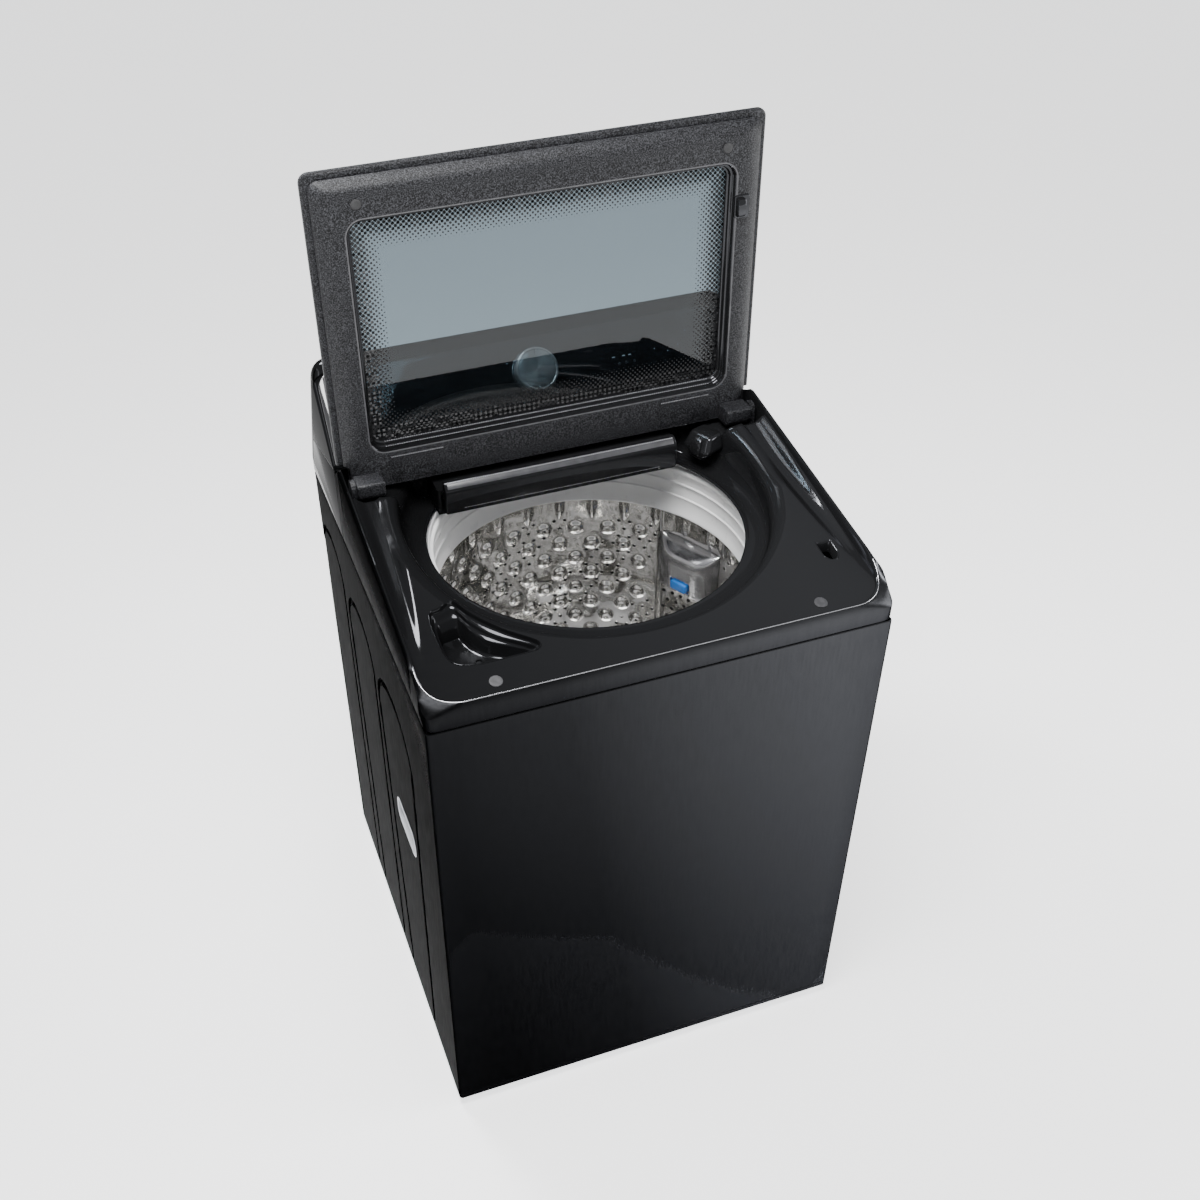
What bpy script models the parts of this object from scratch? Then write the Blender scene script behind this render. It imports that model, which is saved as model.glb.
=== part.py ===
"""Top-loading washing machine with its lid raised, modelled as an assembly.

Metres, +Z up, +X to the right of somebody standing in front, the front facing -Y.
Z = 0 is the floor under the four levelling feet.
"""
import math

import bmesh
import bpy
from mathutils import Matrix, Vector

# ---------------------------------------------------------------- driving dimensions
WIDTH = 0.686                  # cabinet, the 27 inch standard width
DEPTH = 0.699
HALF_W = WIDTH / 2
HALF_D = DEPTH / 2
GAP = 0.0003                   # between pieces that touch
FOOT_H = 0.020                 # floor to the cabinet's lower edge
SEAM_Z = 0.8550                # cabinet meets top cover
SHEET = 0.0012                 # steel sheet
CORNER_R = 0.012               # cabinet's upright front corners

DECK_TILT = math.radians(12.5)     # the deck falls towards the front, and so does the shut lid
DECK_Y, DECK_Z = -0.323, 0.895     # a point of the deck plane: the lid's rest pads
OPENING_Y = -0.030                 # centre of the loading opening
LIP_R, LIP_Z = 0.2405, 0.891       # its lower, level lip
WALL = 0.003                       # moulded plastic walls
RIM_IN = 0.3345                    # inner side of the deck's raised side rims
RIM_REAR_Y = 0.105                 # where the side rims end
TROUGH_Y, TROUGH_Z = 0.056, 0.945  # trough behind the deck, where the lid turns
SEAT_Y, SEAT_Z = 0.137, 0.977      # front edge of the console's seat

TUB_X, TUB_Y = 0.010, -0.033       # the hanging tub's axis, a little off the middle
DRUM_R = 0.265
RING_R = 0.241
RING_TOP, RING_BOTTOM = 0.875, 0.785
TUB_R = 0.292

PIVOT_Y, PIVOT_Z = 0.084, 0.972    # lid hinge pins
LID_Y, LID_Z = 0.0994, 0.951       # lower inner edge of the open lid
LID_LEAN = math.radians(88.0)      # open lid, measured from +Y
LID_HALF_W = 0.340
LID_LEN = 0.4765
LID_T = 0.030
WINDOW = (0.287, 0.062, 0.410)     # half width, lower and upper edge along the lid
NOTCH_W, NOTCH_S = 0.3222, 0.042   # lid's lower corners are cut away outside the hinges

KNOB_R, KNOB_H = 0.0345, 0.020
KNOB_ALONG = 0.090                 # up the console's sloping face
PANEL_T = 0.004                    # console's glass panel
DRAWER_W = 0.190                   # half width
DRAWER_Y = 0.060
FOOT_XY = 0.295
PAD_X, PAD_R = 0.2375, 0.0100      # lid's rest pads
DRAIN = (-0.240, HALF_D, 0.120)    # where the drain hose leaves
INLET_X, INLET_Z = (0.228, 0.282), 0.820   # the two water inlets
CORD = (-0.270, HALF_D, 0.866)     # where the power cord leaves
ROD_X, ROD_Y = 0.262, 0.235        # suspension rods, from the tub's axis
FILTER_ANGLE = 27.0                # lint filter, degrees round the drum from +X
HAND_Y, HAND_Z, HAND_DEPTH = (-0.194, -0.086), (0.450, 0.498), 0.036    # hand-holds in the sides
WAY_HALF, WAY_Z = 0.199, 0.8975    # way that the drawer slides in, through cover and seat
LATCH_X, LATCH_Y = (0.2835, 0.3055), (-0.2560, -0.2215)                 # slot for the lid's strike
CHORD = 0.0010                     # room for the flats of faceted round walls

BIG_ROUND, MID_ROUND, SMALL_ROUND = 44, 32, 16    # sides of turned pieces


# ---------------------------------------------------------------- scene and helpers
for old in list(bpy.data.objects):
    bpy.data.objects.remove(old, do_unlink=True)

MATERIALS = {}


def material(name, colour, roughness, metallic=0.0, alpha=1.0):
    """One Principled material per name."""
    if name in MATERIALS:
        return MATERIALS[name]
    mat = bpy.data.materials.new(name)
    mat.use_nodes = True
    shader = mat.node_tree.nodes["Principled BSDF"]
    shader.inputs["Base Color"].default_value = (*colour, 1.0)
    shader.inputs["Roughness"].default_value = roughness
    shader.inputs["Metallic"].default_value = metallic
    shader.inputs["Alpha"].default_value = alpha
    MATERIALS[name] = mat
    return mat


BLACK_STEEL = ("black_steel", (0.035, 0.036, 0.040), 0.38, 0.6)
BLACK_GLOSS = ("black_gloss", (0.012, 0.012, 0.013), 0.12)
BLACK_GLASS = ("black_glass", (0.010, 0.010, 0.012), 0.05)
GRAPHITE = ("graphite_plastic", (0.045, 0.045, 0.050), 0.62)
GREY_PAD = ("grey_rubber", (0.20, 0.20, 0.21), 0.75)
BLACK_RUBBER = ("black_rubber", (0.02, 0.02, 0.02), 0.80)
WHITE_PLASTIC = ("white_plastic", (0.78, 0.79, 0.78), 0.40)
GREY_PLASTIC = ("grey_plastic", (0.50, 0.51, 0.52), 0.50)
STEEL = ("stainless", (0.62, 0.61, 0.59), 0.18, 1.0)
GALVANISED = ("galvanised", (0.55, 0.56, 0.57), 0.45, 0.9)
ALUMINIUM = ("brushed_alloy", (0.62, 0.64, 0.68), 0.28, 1.0)
CAST_ALLOY = ("cast_alloy", (0.50, 0.50, 0.51), 0.55, 0.9)
TINTED = ("tinted_glass", (0.55, 0.62, 0.66), 0.04, 0.0, 0.35)
DARK_CHROME = ("dark_chrome", (0.12, 0.12, 0.13), 0.15, 1.0)
BLUE = ("blue_plastic", (0.10, 0.24, 0.55), 0.35)
BOARD_GREEN = ("circuit_board", (0.03, 0.16, 0.07), 0.5)


def finish(name, bm, look, smooth=35.0):
    """Turn a bmesh into a named object; faces point out, round sides shade smooth."""
    bmesh.ops.remove_doubles(bm, verts=bm.verts, dist=1e-6)
    bmesh.ops.recalc_face_normals(bm, faces=bm.faces)
    mesh = bpy.data.meshes.new(name)
    bm.to_mesh(mesh)
    bm.free()
    if smooth:
        mesh.shade_smooth()
        mesh.set_sharp_from_angle(angle=math.radians(smooth))
    obj = bpy.data.objects.new(name, mesh)
    bpy.context.scene.collection.objects.link(obj)
    if look:
        mesh.materials.append(material(*look))
    return obj


def cutter(name, bm):
    """A hidden helper solid for a Boolean."""
    obj = finish("cut_" + name, bm, None, smooth=0)
    obj.hide_render = True
    obj.hide_viewport = False
    obj.display_type = "WIRE"
    return obj


def boolean(obj, other, operation="DIFFERENCE"):
    mod = obj.modifiers.new(other.name, "BOOLEAN")
    mod.operation = operation
    mod.object = other
    return obj


def loft(rings, closed=False):
    """Closed solid through rings of equal length; capped unless the rings close on themselves."""
    bm = bmesh.new()
    loops = [[bm.verts.new(p) for p in ring] for ring in rings]
    count = len(loops[0])
    pairs = list(zip(loops, loops[1:]))
    if closed:
        pairs.append((loops[-1], loops[0]))
    for low, high in pairs:
        for i in range(count):
            j = (i + 1) % count
            bm.faces.new((low[i], low[j], high[j], high[i]))
    if not closed:
        bm.faces.new(loops[0][::-1])
        bm.faces.new(loops[-1])
    return bm


def prism(outline, low, high, axis="Z"):
    """Extrude a 2-D outline along an axis. X takes (y, z), Y takes (x, z), Z takes (x, y)."""
    def place(p, h):
        if axis == "X":
            return (h, p[0], p[1])
        if axis == "Y":
            return (p[0], h, p[1])
        return (p[0], p[1], h)
    return loft([[place(p, h) for p in outline] for h in (low, high)])


def box(x0, x1, y0, y1, z0, z1):
    return prism([(x0, y0), (x1, y0), (x1, y1), (x0, y1)], z0, z1)


def arc(cx, cy, r, start, end, steps):
    """Points of an arc, angles in degrees."""
    points = []
    for i in range(steps + 1):
        a = math.radians(start + (end - start) * i / steps)
        points.append((cx + r * math.cos(a), cy + r * math.sin(a)))
    return points


def circle(cx, cy, r, sides=SMALL_ROUND):
    return arc(cx, cy, r, 0, 360 - 360 / sides, sides - 1)


def rounded_rect(x0, x1, y0, y1, r, steps=4):
    return (arc(x1 - r, y0 + r, r, -90, 0, steps) + arc(x1 - r, y1 - r, r, 0, 90, steps)
            + arc(x0 + r, y1 - r, r, 90, 180, steps) + arc(x0 + r, y0 + r, r, 180, 270, steps))


def lathe(profile, segments, x=0.0, y=0.0):
    """Turn a closed (radius, z) profile about an upright axis; radius 0 closes on the axis."""
    bm = bmesh.new()
    columns = []
    for k in range(segments):
        a = 2 * math.pi * k / segments
        columns.append([bm.verts.new((x + r * math.cos(a), y + r * math.sin(a), z))
                        for r, z in profile])
    count = len(profile)
    for k in range(segments):
        here, there = columns[k], columns[(k + 1) % segments]
        for i in range(count):
            j = (i + 1) % count
            if profile[i][0] == 0 and profile[j][0] == 0:
                continue
            corners = [here[i], there[i], there[j], here[j]]
            if profile[i][0] == 0:
                corners = [here[i], there[j], here[j]]
            elif profile[j][0] == 0:
                corners = [here[i], there[i], here[j]]
            bm.faces.new(corners)
    bmesh.ops.remove_doubles(bm, verts=bm.verts, dist=1e-7)
    return bm


def turn(bm, matrix):
    bmesh.ops.transform(bm, matrix=matrix, verts=bm.verts)
    return bm


def deck_height(y):
    return DECK_Z + math.tan(DECK_TILT) * (y - DECK_Y)


def rim_height(y):
    """Top of the raised side rims."""
    return 0.917 + 0.1835 * (y + 0.315)


# ---------------------------------------------------------------- cabinet
def cabinet():
    """Folded steel wrap: front and both sides, with folded-in rear flanges."""
    rear = HALF_D - 0.0015
    flange = 0.022
    def wrap(inset, lip):
        r = CORNER_R - inset
        w, f = HALF_W - inset, -HALF_D + inset
        front = arc(-w + r, f + r, r, 180, 270, 4) + arc(w - r, f + r, r, 270, 360, 4)
        return front + lip(w)
    outer = wrap(0.0, lambda w: [(w, rear), (w - flange, rear), (w - flange, rear - SHEET)])
    inner = wrap(SHEET, lambda w: [(w, rear - SHEET)])
    left = [(-HALF_W + flange, rear - SHEET), (-HALF_W + flange, rear), (-HALF_W, rear)]
    inner_left = (-HALF_W + SHEET, rear - SHEET)
    outline = outer + inner[::-1] + [inner_left] + left
    shell = finish("cabinet_shell", prism(outline, FOOT_H, SEAM_Z - GAP), BLACK_STEEL)
    for side in (-1, 1):
        hole = box(side * HALF_W - 0.01, side * HALF_W + 0.01, *HAND_Y, *HAND_Z)
        boolean(shell, cutter("handhold%+d" % side, hole))
    return shell


def handhold(side, name):
    """Plastic cup that closes the hand-hold in each side."""
    x = side * (HALF_W - GAP)
    inner = side * (HALF_W - HAND_DEPTH)
    def trimmed(ends, by):
        return (ends[0] + by, ends[1] - by)
    block = box(*sorted((x, inner)), *trimmed(HAND_Y, 0.0005), *trimmed(HAND_Z, 0.0005))
    cup = finish(name, block, GREY_PLASTIC)
    mouth = sorted((inner + side * 0.002, x + side * 0.01))
    hollow = box(*mouth, *trimmed(HAND_Y, 0.0025), *trimmed(HAND_Z, 0.0025))
    return boolean(cup, cutter(name, hollow))


def rear_panel():
    outline = [(-HALF_W + SHEET, FOOT_H + GAP), (HALF_W - SHEET, FOOT_H + GAP),
               (HALF_W - SHEET, SEAM_Z - GAP), (-HALF_W + SHEET, SEAM_Z - GAP)]
    panel = finish("rear_panel", prism(outline, HALF_D - 0.0012, HALF_D, "Y"), GALVANISED)
    hole = prism(circle(0, 0, 0.0215), -0.02, 0.02, "Y")
    turn(hole, Matrix.Translation((DRAIN[0], HALF_D, DRAIN[2])))
    boolean(panel, cutter("drain_hole", hole))
    window = box(0.2080, 0.3020, HALF_D - 0.01, HALF_D + 0.01, 0.8030, 0.8370)
    return boolean(panel, cutter("inlet_window", window))


def base_frame():
    plan = rounded_rect(-0.3412, 0.3412, -0.3477, 0.3460, CORNER_R)
    frame = finish("base_frame", prism(plan, FOOT_H + GAP, 0.0450), GALVANISED)
    boolean(frame, cutter("base_middle", box(-0.262, 0.262, -0.262, 0.262, 0.0, 0.1)))
    boolean(frame, cutter("base_hollow", box(-0.3390, 0.3390, -0.3455, 0.3440, 0.0225, 0.1)))
    for x, y in foot_places():
        hole = lathe([(0, 0.0), (0.0060, 0.0), (0.0060, 0.1), (0, 0.1)], 12, x, y)
        boolean(frame, cutter("stud%+.1f%+.1f" % (x, y), hole))
    return frame


def foot_places():
    return [(sx * FOOT_XY, sy * FOOT_XY) for sy in (-1, 1) for sx in (-1, 1)]


def levelling_feet():
    """Rubber-shod feet on threaded studs, screwed up into the base frame."""
    names = ["levelling_foot_front_left", "levelling_foot_front_right",
             "levelling_foot_rear_left", "levelling_foot_rear_right"]
    profile = [(0, 0), (0.0200, 0), (0.0215, 0.003), (0.0200, 0.0095), (0.0110, 0.0120),
               (0.0110, 0.0185), (0.0048, 0.0185), (0.0048, 0.0520), (0, 0.0520)]
    for name, (x, y) in zip(names, foot_places()):
        finish(name, lathe(profile, SMALL_ROUND, x, y), BLACK_RUBBER)


# ---------------------------------------------------------------- top cover and what sits in it
def slope(y0, y1, offset=0.0):
    return [(y0, deck_height(y0) + offset), (y1, deck_height(y1) + offset)]


def bowl_profile(offset=0.0):
    """Section of the loading opening's funnel, from the lip up to above the deck."""
    return [(LIP_R + offset, LIP_Z), (0.262 + offset, 0.896), (0.274 + offset, 0.903),
            (0.279 + offset, 0.915), (0.284 + offset, 0.960), (0.288 + offset, 1.020)]


def top_cover():
    front = -HALF_D
    seat = [(SEAT_Y, SEAT_Z - GAP), (0.312, 0.936 - GAP), (0.3445, 0.8775 - GAP),
            (HALF_D, 0.8775 - GAP)]
    outline = ([(front, SEAM_Z), (front, 0.878), (-0.3465, 0.896), (-0.337, 0.909),
                (-0.315, rim_height(-0.315)), (RIM_REAR_Y, rim_height(RIM_REAR_Y)), (0.118, 0.984)]
               + seat + [(HALF_D, SEAM_Z)])
    cover = finish("top_cover", prism(outline, -HALF_W, HALF_W, "X"), BLACK_GLOSS)
    above = [(-0.36, 0.878), (-0.349, 0.8795), (-0.3435, 0.8865)] + slope(-0.333, TROUGH_Y)
    above += [(TROUGH_Y, 1.1), (-0.36, 1.1)]
    boolean(cover, cutter("above_deck", prism(above, -RIM_IN, RIM_IN, "X")))
    trough = [(TROUGH_Y - 0.01, TROUGH_Z), (SEAT_Y - WALL, TROUGH_Z), (SEAT_Y - WALL, 1.1),
              (TROUGH_Y - 0.01, 1.1)]
    boolean(cover, cutter("lid_trough", prism(trough, -RIM_IN, RIM_IN, "X")))
    below = ([(front + WALL, 0.80), (front + WALL, 0.8765)] + slope(-0.333, TROUGH_Y - 0.014, -WALL - 0.001)
             + [(TROUGH_Y - 0.014, TROUGH_Z - WALL), (SEAT_Y - 0.001, TROUGH_Z - WALL),
                (SEAT_Y + WALL, SEAT_Z - 2 * WALL), (0.310, 0.936 - WALL), (0.3415, 0.8775 - WALL),
                (HALF_D - WALL, 0.8775 - WALL), (HALF_D - WALL, 0.80)])
    boolean(cover, cutter("under_deck", prism(below, -HALF_W + WALL, HALF_W - WALL, "X")))
    well = [(0, 0.80), (LIP_R + WALL, 0.80)] + bowl_profile(WALL)[1:] + [(0, 1.02)]
    boolean(cover, cutter("bowl_outside", lathe(well, BIG_ROUND, 0, OPENING_Y)))
    inner = bowl_profile()
    outer = bowl_profile(WALL + 0.0004)
    outer[0] = (LIP_R + WALL + 0.0004, LIP_Z - WALL)
    ring = lathe([(LIP_R, LIP_Z - WALL)] + inner + outer[::-1], BIG_ROUND, 0, OPENING_Y)
    bowl = cutter("bowl", ring)
    boolean(bowl, bpy.data.objects["cut_above_deck"])
    boolean(bowl, bpy.data.objects["cut_lid_trough"])
    over_seat = [(SEAT_Y - 0.004, TROUGH_Z - 0.001), (SEAT_Y - 0.004, 1.2), (0.40, 1.2), (0.40, 0.80),
                 (0.300, 0.80), (0.300, 0.905), (0.150, 0.905)]
    boolean(bowl, cutter("over_seat", prism(over_seat, -0.4, 0.4, "X")))
    boolean(bowl, cutter("drawer_way", box(-WAY_HALF, WAY_HALF, 0.045, 0.330, WAY_Z, 1.2)))
    boolean(cover, bowl, "UNION")
    boolean(cover, bpy.data.objects["cut_drawer_way"])
    slot = rounded_rect(*LATCH_X, *LATCH_Y, 0.008, 3)
    boolean(cover, cutter("latch_slot", prism(slot, 0.80, 0.96)))
    boolean(cover, cutter("bleach_hole", prism(bleach_outline(0.0), 0.80, 0.96)))
    for side in (-1, 1):
        r = PAD_R + 0.0004
        pocket = lathe([(0, 0.80), (r, 0.80), (r, 0.96), (0, 0.96)], SMALL_ROUND, side * PAD_X, DECK_Y)
        boolean(cover, cutter("pad%+d" % side, pocket))
    return cover


def bleach_outline(inset):
    """Plan of the bleach pocket: one side follows the opening, the others the cover's corner."""
    narrow = 450 * inset
    hug = arc(0, OPENING_Y, 0.2935 + inset, -152 + narrow, -123 - narrow, 5)
    i = inset
    corner = [(-0.166 - 2.4 * i, -0.287 + i), (-0.205, -0.291 + i), (-0.250, -0.291 + i),
              (-0.276 + i, -0.281 + i), (-0.289 + i, -0.262), (-0.293 + i, -0.225), (-0.290 + i, -0.190)]
    return hug + corner


def bleach_cup():
    """Pocket that takes bleach, with a spout to the tub; it hangs in the deck."""
    rings = [[(x, y, deck_height(y) - 0.0025) for x, y in bleach_outline(0.0010)]]
    for inset, z in ((0.0010, 0.8790), (0.010, 0.8700)):
        rings.append([(x, y, z) for x, y in bleach_outline(inset)])
    cup = finish("bleach_cup", loft(rings), BLACK_GLOSS)
    hollow = []
    for inset, z in ((0.0030, 0.96), (0.0030, 0.8800), (0.012, 0.8725)):
        hollow.append([(x, y, z) for x, y in bleach_outline(inset)])
    boolean(cup, cutter("bleach_hollow", loft(hollow)))
    spout = box(-0.248, -0.232, -0.262, -0.246, 0.84, 0.90)
    return boolean(cup, cutter("bleach_drain", spout))


def lid_pads():
    """Two soft pads let into the deck, on which the shut lid's bumpers rest."""
    tilt = Matrix.Rotation(DECK_TILT, 4, "X")
    for side, name in ((-1, "lid_pad_left"), (1, "lid_pad_right")):
        disc = lathe([(0, -0.004), (PAD_R - 0.0006, -0.004), (PAD_R - 0.0006, 0.0004),
                      (PAD_R - 0.0016, 0.0008), (0, 0.0008)], SMALL_ROUND)
        finish(name, turn(disc, Matrix.Translation((side * PAD_X, DECK_Y, DECK_Z)) @ tilt), GREY_PAD)


def lid_lock():
    """Lid lock under the deck, with the slot that the strike drops into."""
    body = finish("lid_lock", box(0.262, 0.327, -0.268, -0.205, 0.868, 0.8830), BLACK_GLOSS)
    return boolean(body, cutter("lock_mouth", box(0.2825, 0.3060, -0.2550, -0.2225, 0.872, 0.95)))


def dispenser():
    """Housing under the console, and the drawer that slides out of it over the tub."""
    case = box(-0.1985, 0.1985, 0.0770, 0.2900, 0.8980, 0.9410)
    housing = finish("dispenser_housing", case, BLACK_GLOSS)
    boolean(housing, cutter("housing_hollow", box(-0.1935, 0.1935, 0.0, 0.2870, 0.9010, 0.9385)))
    boolean(housing, cutter("housing_chute", box(-0.120, 0.120, 0.120, 0.200, 0.88, 0.91)))
    face = [(DRAWER_Y + 0.016, 0.9040), (DRAWER_Y + 0.004, 0.9040), (DRAWER_Y, 0.9080), (DRAWER_Y, 0.9480),
            (DRAWER_Y + 0.007, 0.9580), (DRAWER_Y + 0.016, 0.9580)]
    finish("drawer_front", prism(face, -DRAWER_W, DRAWER_W, "X"), BLACK_GLOSS)
    y0 = DRAWER_Y + 0.016 + GAP
    tray = finish("drawer_tray", box(-0.182, 0.182, y0, 0.262, 0.9020, 0.9370), GREY_PLASTIC)
    for index, (x0, x1) in enumerate(((-0.180, -0.062), (-0.060, 0.060), (0.062, 0.180))):
        boolean(tray, cutter("tray_cup%d" % index, box(x0, x1, y0 + 0.002, 0.260, 0.9040, 0.97)))
    cap = [(0, 0.9043), (0.020, 0.9043), (0.020, 0.925), (0.012, 0.931), (0, 0.931)]
    finish("softener_cap", lathe(cap, SMALL_ROUND, 0.120, 0.215), BLUE)


def water_nozzle():
    """Spray head on the right rear of the funnel wall, pointing down into the drum."""
    def section(half, front, back, z):
        return [(-half, front, z), (half, front, z), (half, back, z), (-half, back, z)]
    body = loft([section(0.020, -0.012, 0.0150, 0.0150), section(0.024, -0.020, 0.0150, -0.004),
                 section(0.014, -0.016, 0.0120, -0.018)])
    angle = math.radians(24)
    place = Matrix.Translation((0.262 * math.cos(angle), OPENING_Y + 0.262 * math.sin(angle), 0.935))
    face_in = Matrix.Rotation(angle - math.pi / 2, 4, "Z")
    return finish("water_nozzle", turn(body, place @ face_in), BLACK_GLOSS)


def hinge_brackets():
    """Fixed brackets at both ends of the trough, each with the pin that the lid turns on."""
    for side, name in ((-1, "hinge_bracket_left"), (1, "hinge_bracket_right")):
        outline = ([(PIVOT_Y + 0.012, TROUGH_Z + GAP)] + arc(PIVOT_Y, PIVOT_Z, 0.013, 0, 180, 8)
                   + [(PIVOT_Y - 0.013, TROUGH_Z + GAP)])
        ends = sorted((side * 0.3226, side * 0.3296))
        plate = finish(name, prism(outline, ends[0], ends[1], "X"), CAST_ALLOY)
        pin = prism(circle(PIVOT_Y, PIVOT_Z, 0.0050), *sorted((side * 0.296, side * 0.3250)), axis="X")
        boolean(plate, cutter(name, pin), "UNION")


# ---------------------------------------------------------------- console
FACE_LOW = Vector((0.0, 0.1370, 0.9790))
FACE_HIGH = Vector((0.0, 0.2265, 1.0990))
FACE_DIR = (FACE_HIGH - FACE_LOW).normalized()
FACE_OUT = Vector((0.0, -FACE_DIR.z, FACE_DIR.y))
def face_point(along, out=0.0):
    """(y, z) of a point on the console's sloping face."""
    p = FACE_LOW + FACE_DIR * along + FACE_OUT * out
    return (p.y, p.z)


def console():
    length = (FACE_HIGH - FACE_LOW).length
    back = PANEL_T + GAP
    outline = ([(SEAT_Y + 0.001, SEAT_Z + GAP), face_point(0.0045, 0), face_point(0.0045, -back),
                face_point(length - 0.004, -back), face_point(length - 0.004, 0),
                (0.2320, 1.1040), (0.2420, 1.1080), (0.2540, 1.1040), (0.2620, 1.0900),
                (HALF_D - 0.001, 0.8860), (HALF_D - 0.001, 0.8778 + GAP), (0.3448, 0.8778 + GAP),
                (0.3122, 0.9362 + GAP)])
    housing = finish("console_housing", prism(outline, -HALF_W, HALF_W, "X"), BLACK_GLOSS)
    hollow = [(0.1500, 0.9650), face_point(0.012, -back - WALL), face_point(length - 0.010, -back - WALL),
              (0.2440, 1.0960), (0.2560, 1.0900), (0.3400, 0.8900), (0.3080, 0.9250)]
    boolean(housing, cutter("console_hollow", prism(hollow, -HALF_W + WALL, HALF_W - WALL, "X")))
    spindle = turn(lathe([(0, -0.05), (0.0050, -0.05), (0.0050, 0.05), (0, 0.05)], SMALL_ROUND), knob_place())
    boolean(housing, cutter("knob_hole", spindle))
    plate = [face_point(0.0050, -PANEL_T), face_point(0.0050, 0), face_point(length - 0.0045, 0),
             face_point(length - 0.0045, -PANEL_T)]
    panel = finish("console_panel", prism(plate, -HALF_W + 0.005, HALF_W - 0.005, "X"), BLACK_GLASS)
    boolean(panel, bpy.data.objects["cut_knob_hole"])
    board = [face_point(0.030, -0.0180), face_point(0.030, -0.0164), face_point(0.115, -0.0164),
             face_point(0.115, -0.0180)]
    finish("control_board", prism(board, -0.160, 0.160, "X"), BOARD_GREEN)


def knob_place():
    """From the knob's own axis, +Z out of the face, to its place on the console."""
    y, z = face_point(KNOB_ALONG)
    spin = Matrix(((-1, 0, 0), (0, FACE_DIR.y, FACE_OUT.y), (0, FACE_DIR.z, FACE_OUT.z))).to_4x4()
    return Matrix.Translation((0.0, y, z)) @ spin


def knob():
    profile = [(0, -0.0110), (0.0030, -0.0110), (0.0030, GAP), (0.0330, GAP), (KNOB_R, 0.002),
               (KNOB_R - 0.0012, KNOB_H - 0.002), (KNOB_R - 0.0030, KNOB_H), (0, KNOB_H)]
    return finish("program_knob", turn(lathe(profile, MID_ROUND), knob_place()), ALUMINIUM)


# ---------------------------------------------------------------- water, drain and electrical
def services():
    """Inlet valve behind the rear panel, drain pump and outlet, and cord inlet."""
    valve = finish("inlet_valve", box(0.203, 0.307, 0.2900, 0.3350, 0.7980, 0.8420), WHITE_PLASTIC)
    for index, x in enumerate(INLET_X):
        port = prism(circle(x, INLET_Z, 0.0133), 0.3300, HALF_D - 0.0010, "Y")
        boolean(valve, cutter("port%d" % index, port), "UNION")
        bore = prism(circle(x, INLET_Z, 0.0090), 0.3360, HALF_D + 0.01, "Y")
        boolean(valve, cutter("port_bore%d" % index, bore))
    profile = [(0, 0.048), (0.036, 0.048), (0.036, 0.085), (0.024, 0.088), (0.024, 0.130), (0, 0.130)]
    pump = finish("drain_pump", lathe(profile, SMALL_ROUND + 4, -0.235, 0.225), WHITE_PLASTIC)
    neck = prism(circle(-0.235, 0.066, 0.012), 0.235, 0.290, "Y")
    boolean(pump, cutter("pump_neck", neck), "UNION")
    spigot = [(0, -0.040), (0.0150, -0.040), (0.0150, -0.0020), (0.0205, -0.0020), (0.0205, -0.0004),
              (0.0125, -0.0004), (0.0125, -0.036), (0, -0.036)]
    face_back = Matrix.Rotation(-math.pi / 2, 4, "X")
    place = Matrix.Translation(DRAIN) @ face_back
    finish("drain_outlet", turn(lathe(spigot, SMALL_ROUND), place), GREY_PLASTIC)
    gland = [(0, -0.006), (0.0080, -0.006), (0.0080, -0.0016), (0.0110, -0.0016), (0.0110, 0), (0.0045, 0),
             (0.0045, -0.004), (0, -0.004)]
    place = Matrix.Translation(CORD) @ face_back
    finish("cord_inlet", turn(lathe(gland, SMALL_ROUND), place), BLACK_RUBBER)
    cover = bpy.data.objects["top_cover"]
    for tag, r, low in (("cord_hole", 0.0084, -0.010), ("cord_seat", 0.0114, -0.0019)):
        hole = lathe([(0, low), (r, low), (r, 0.010), (0, 0.010)], SMALL_ROUND)
        boolean(cover, cutter(tag, turn(hole, place)))


# ---------------------------------------------------------------- hanging tub
def rod_places():
    return [(TUB_X + sx * ROD_X, TUB_Y + sy * ROD_Y) for sy in (-1, 1) for sx in (-1, 1)]


def suspension():
    """Four rods that hang from the cabinet's corners; the tub's ears ride on their springs."""
    names = ["suspension_rod_front_left", "suspension_rod_front_right",
             "suspension_rod_rear_left", "suspension_rod_rear_right"]
    spring_cup = [(0, 0.340), (0.0165, 0.340), (0.0165, 0.348), (0.0130, 0.350), (0.0130, 0.386)]
    head = [(0.0110, 0.795), (0.0110, 0.805), (0.0060, 0.812), (0, 0.812)]
    profile = spring_cup + [(0.0040, 0.388), (0.0040, 0.795)] + head
    shell = bpy.data.objects["cabinet_shell"]
    for name, (x, y) in zip(names, rod_places()):
        finish(name, lathe(profile, 12, x, y), GALVANISED)
        sx = 1 if x > 0 else -1
        inner = min(abs(x) - 0.022, 0.33)
        ledge = sorted((sx * inner, sx * (HALF_W - SHEET / 2)))
        tag = "%+d%+d" % (sx, 1 if y > 0 else -1)
        gusset = cutter("gusset" + tag, box(ledge[0], ledge[1], y - 0.035, y + 0.035, 0.7900, 0.7945))
        hole = lathe([(0, 0.7), (0.0060, 0.7), (0.0060, 0.9), (0, 0.9)], 12, x, y)
        boolean(gusset, cutter("rod_hole" + tag, hole))
        boolean(shell, gusset, "UNION")


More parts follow.
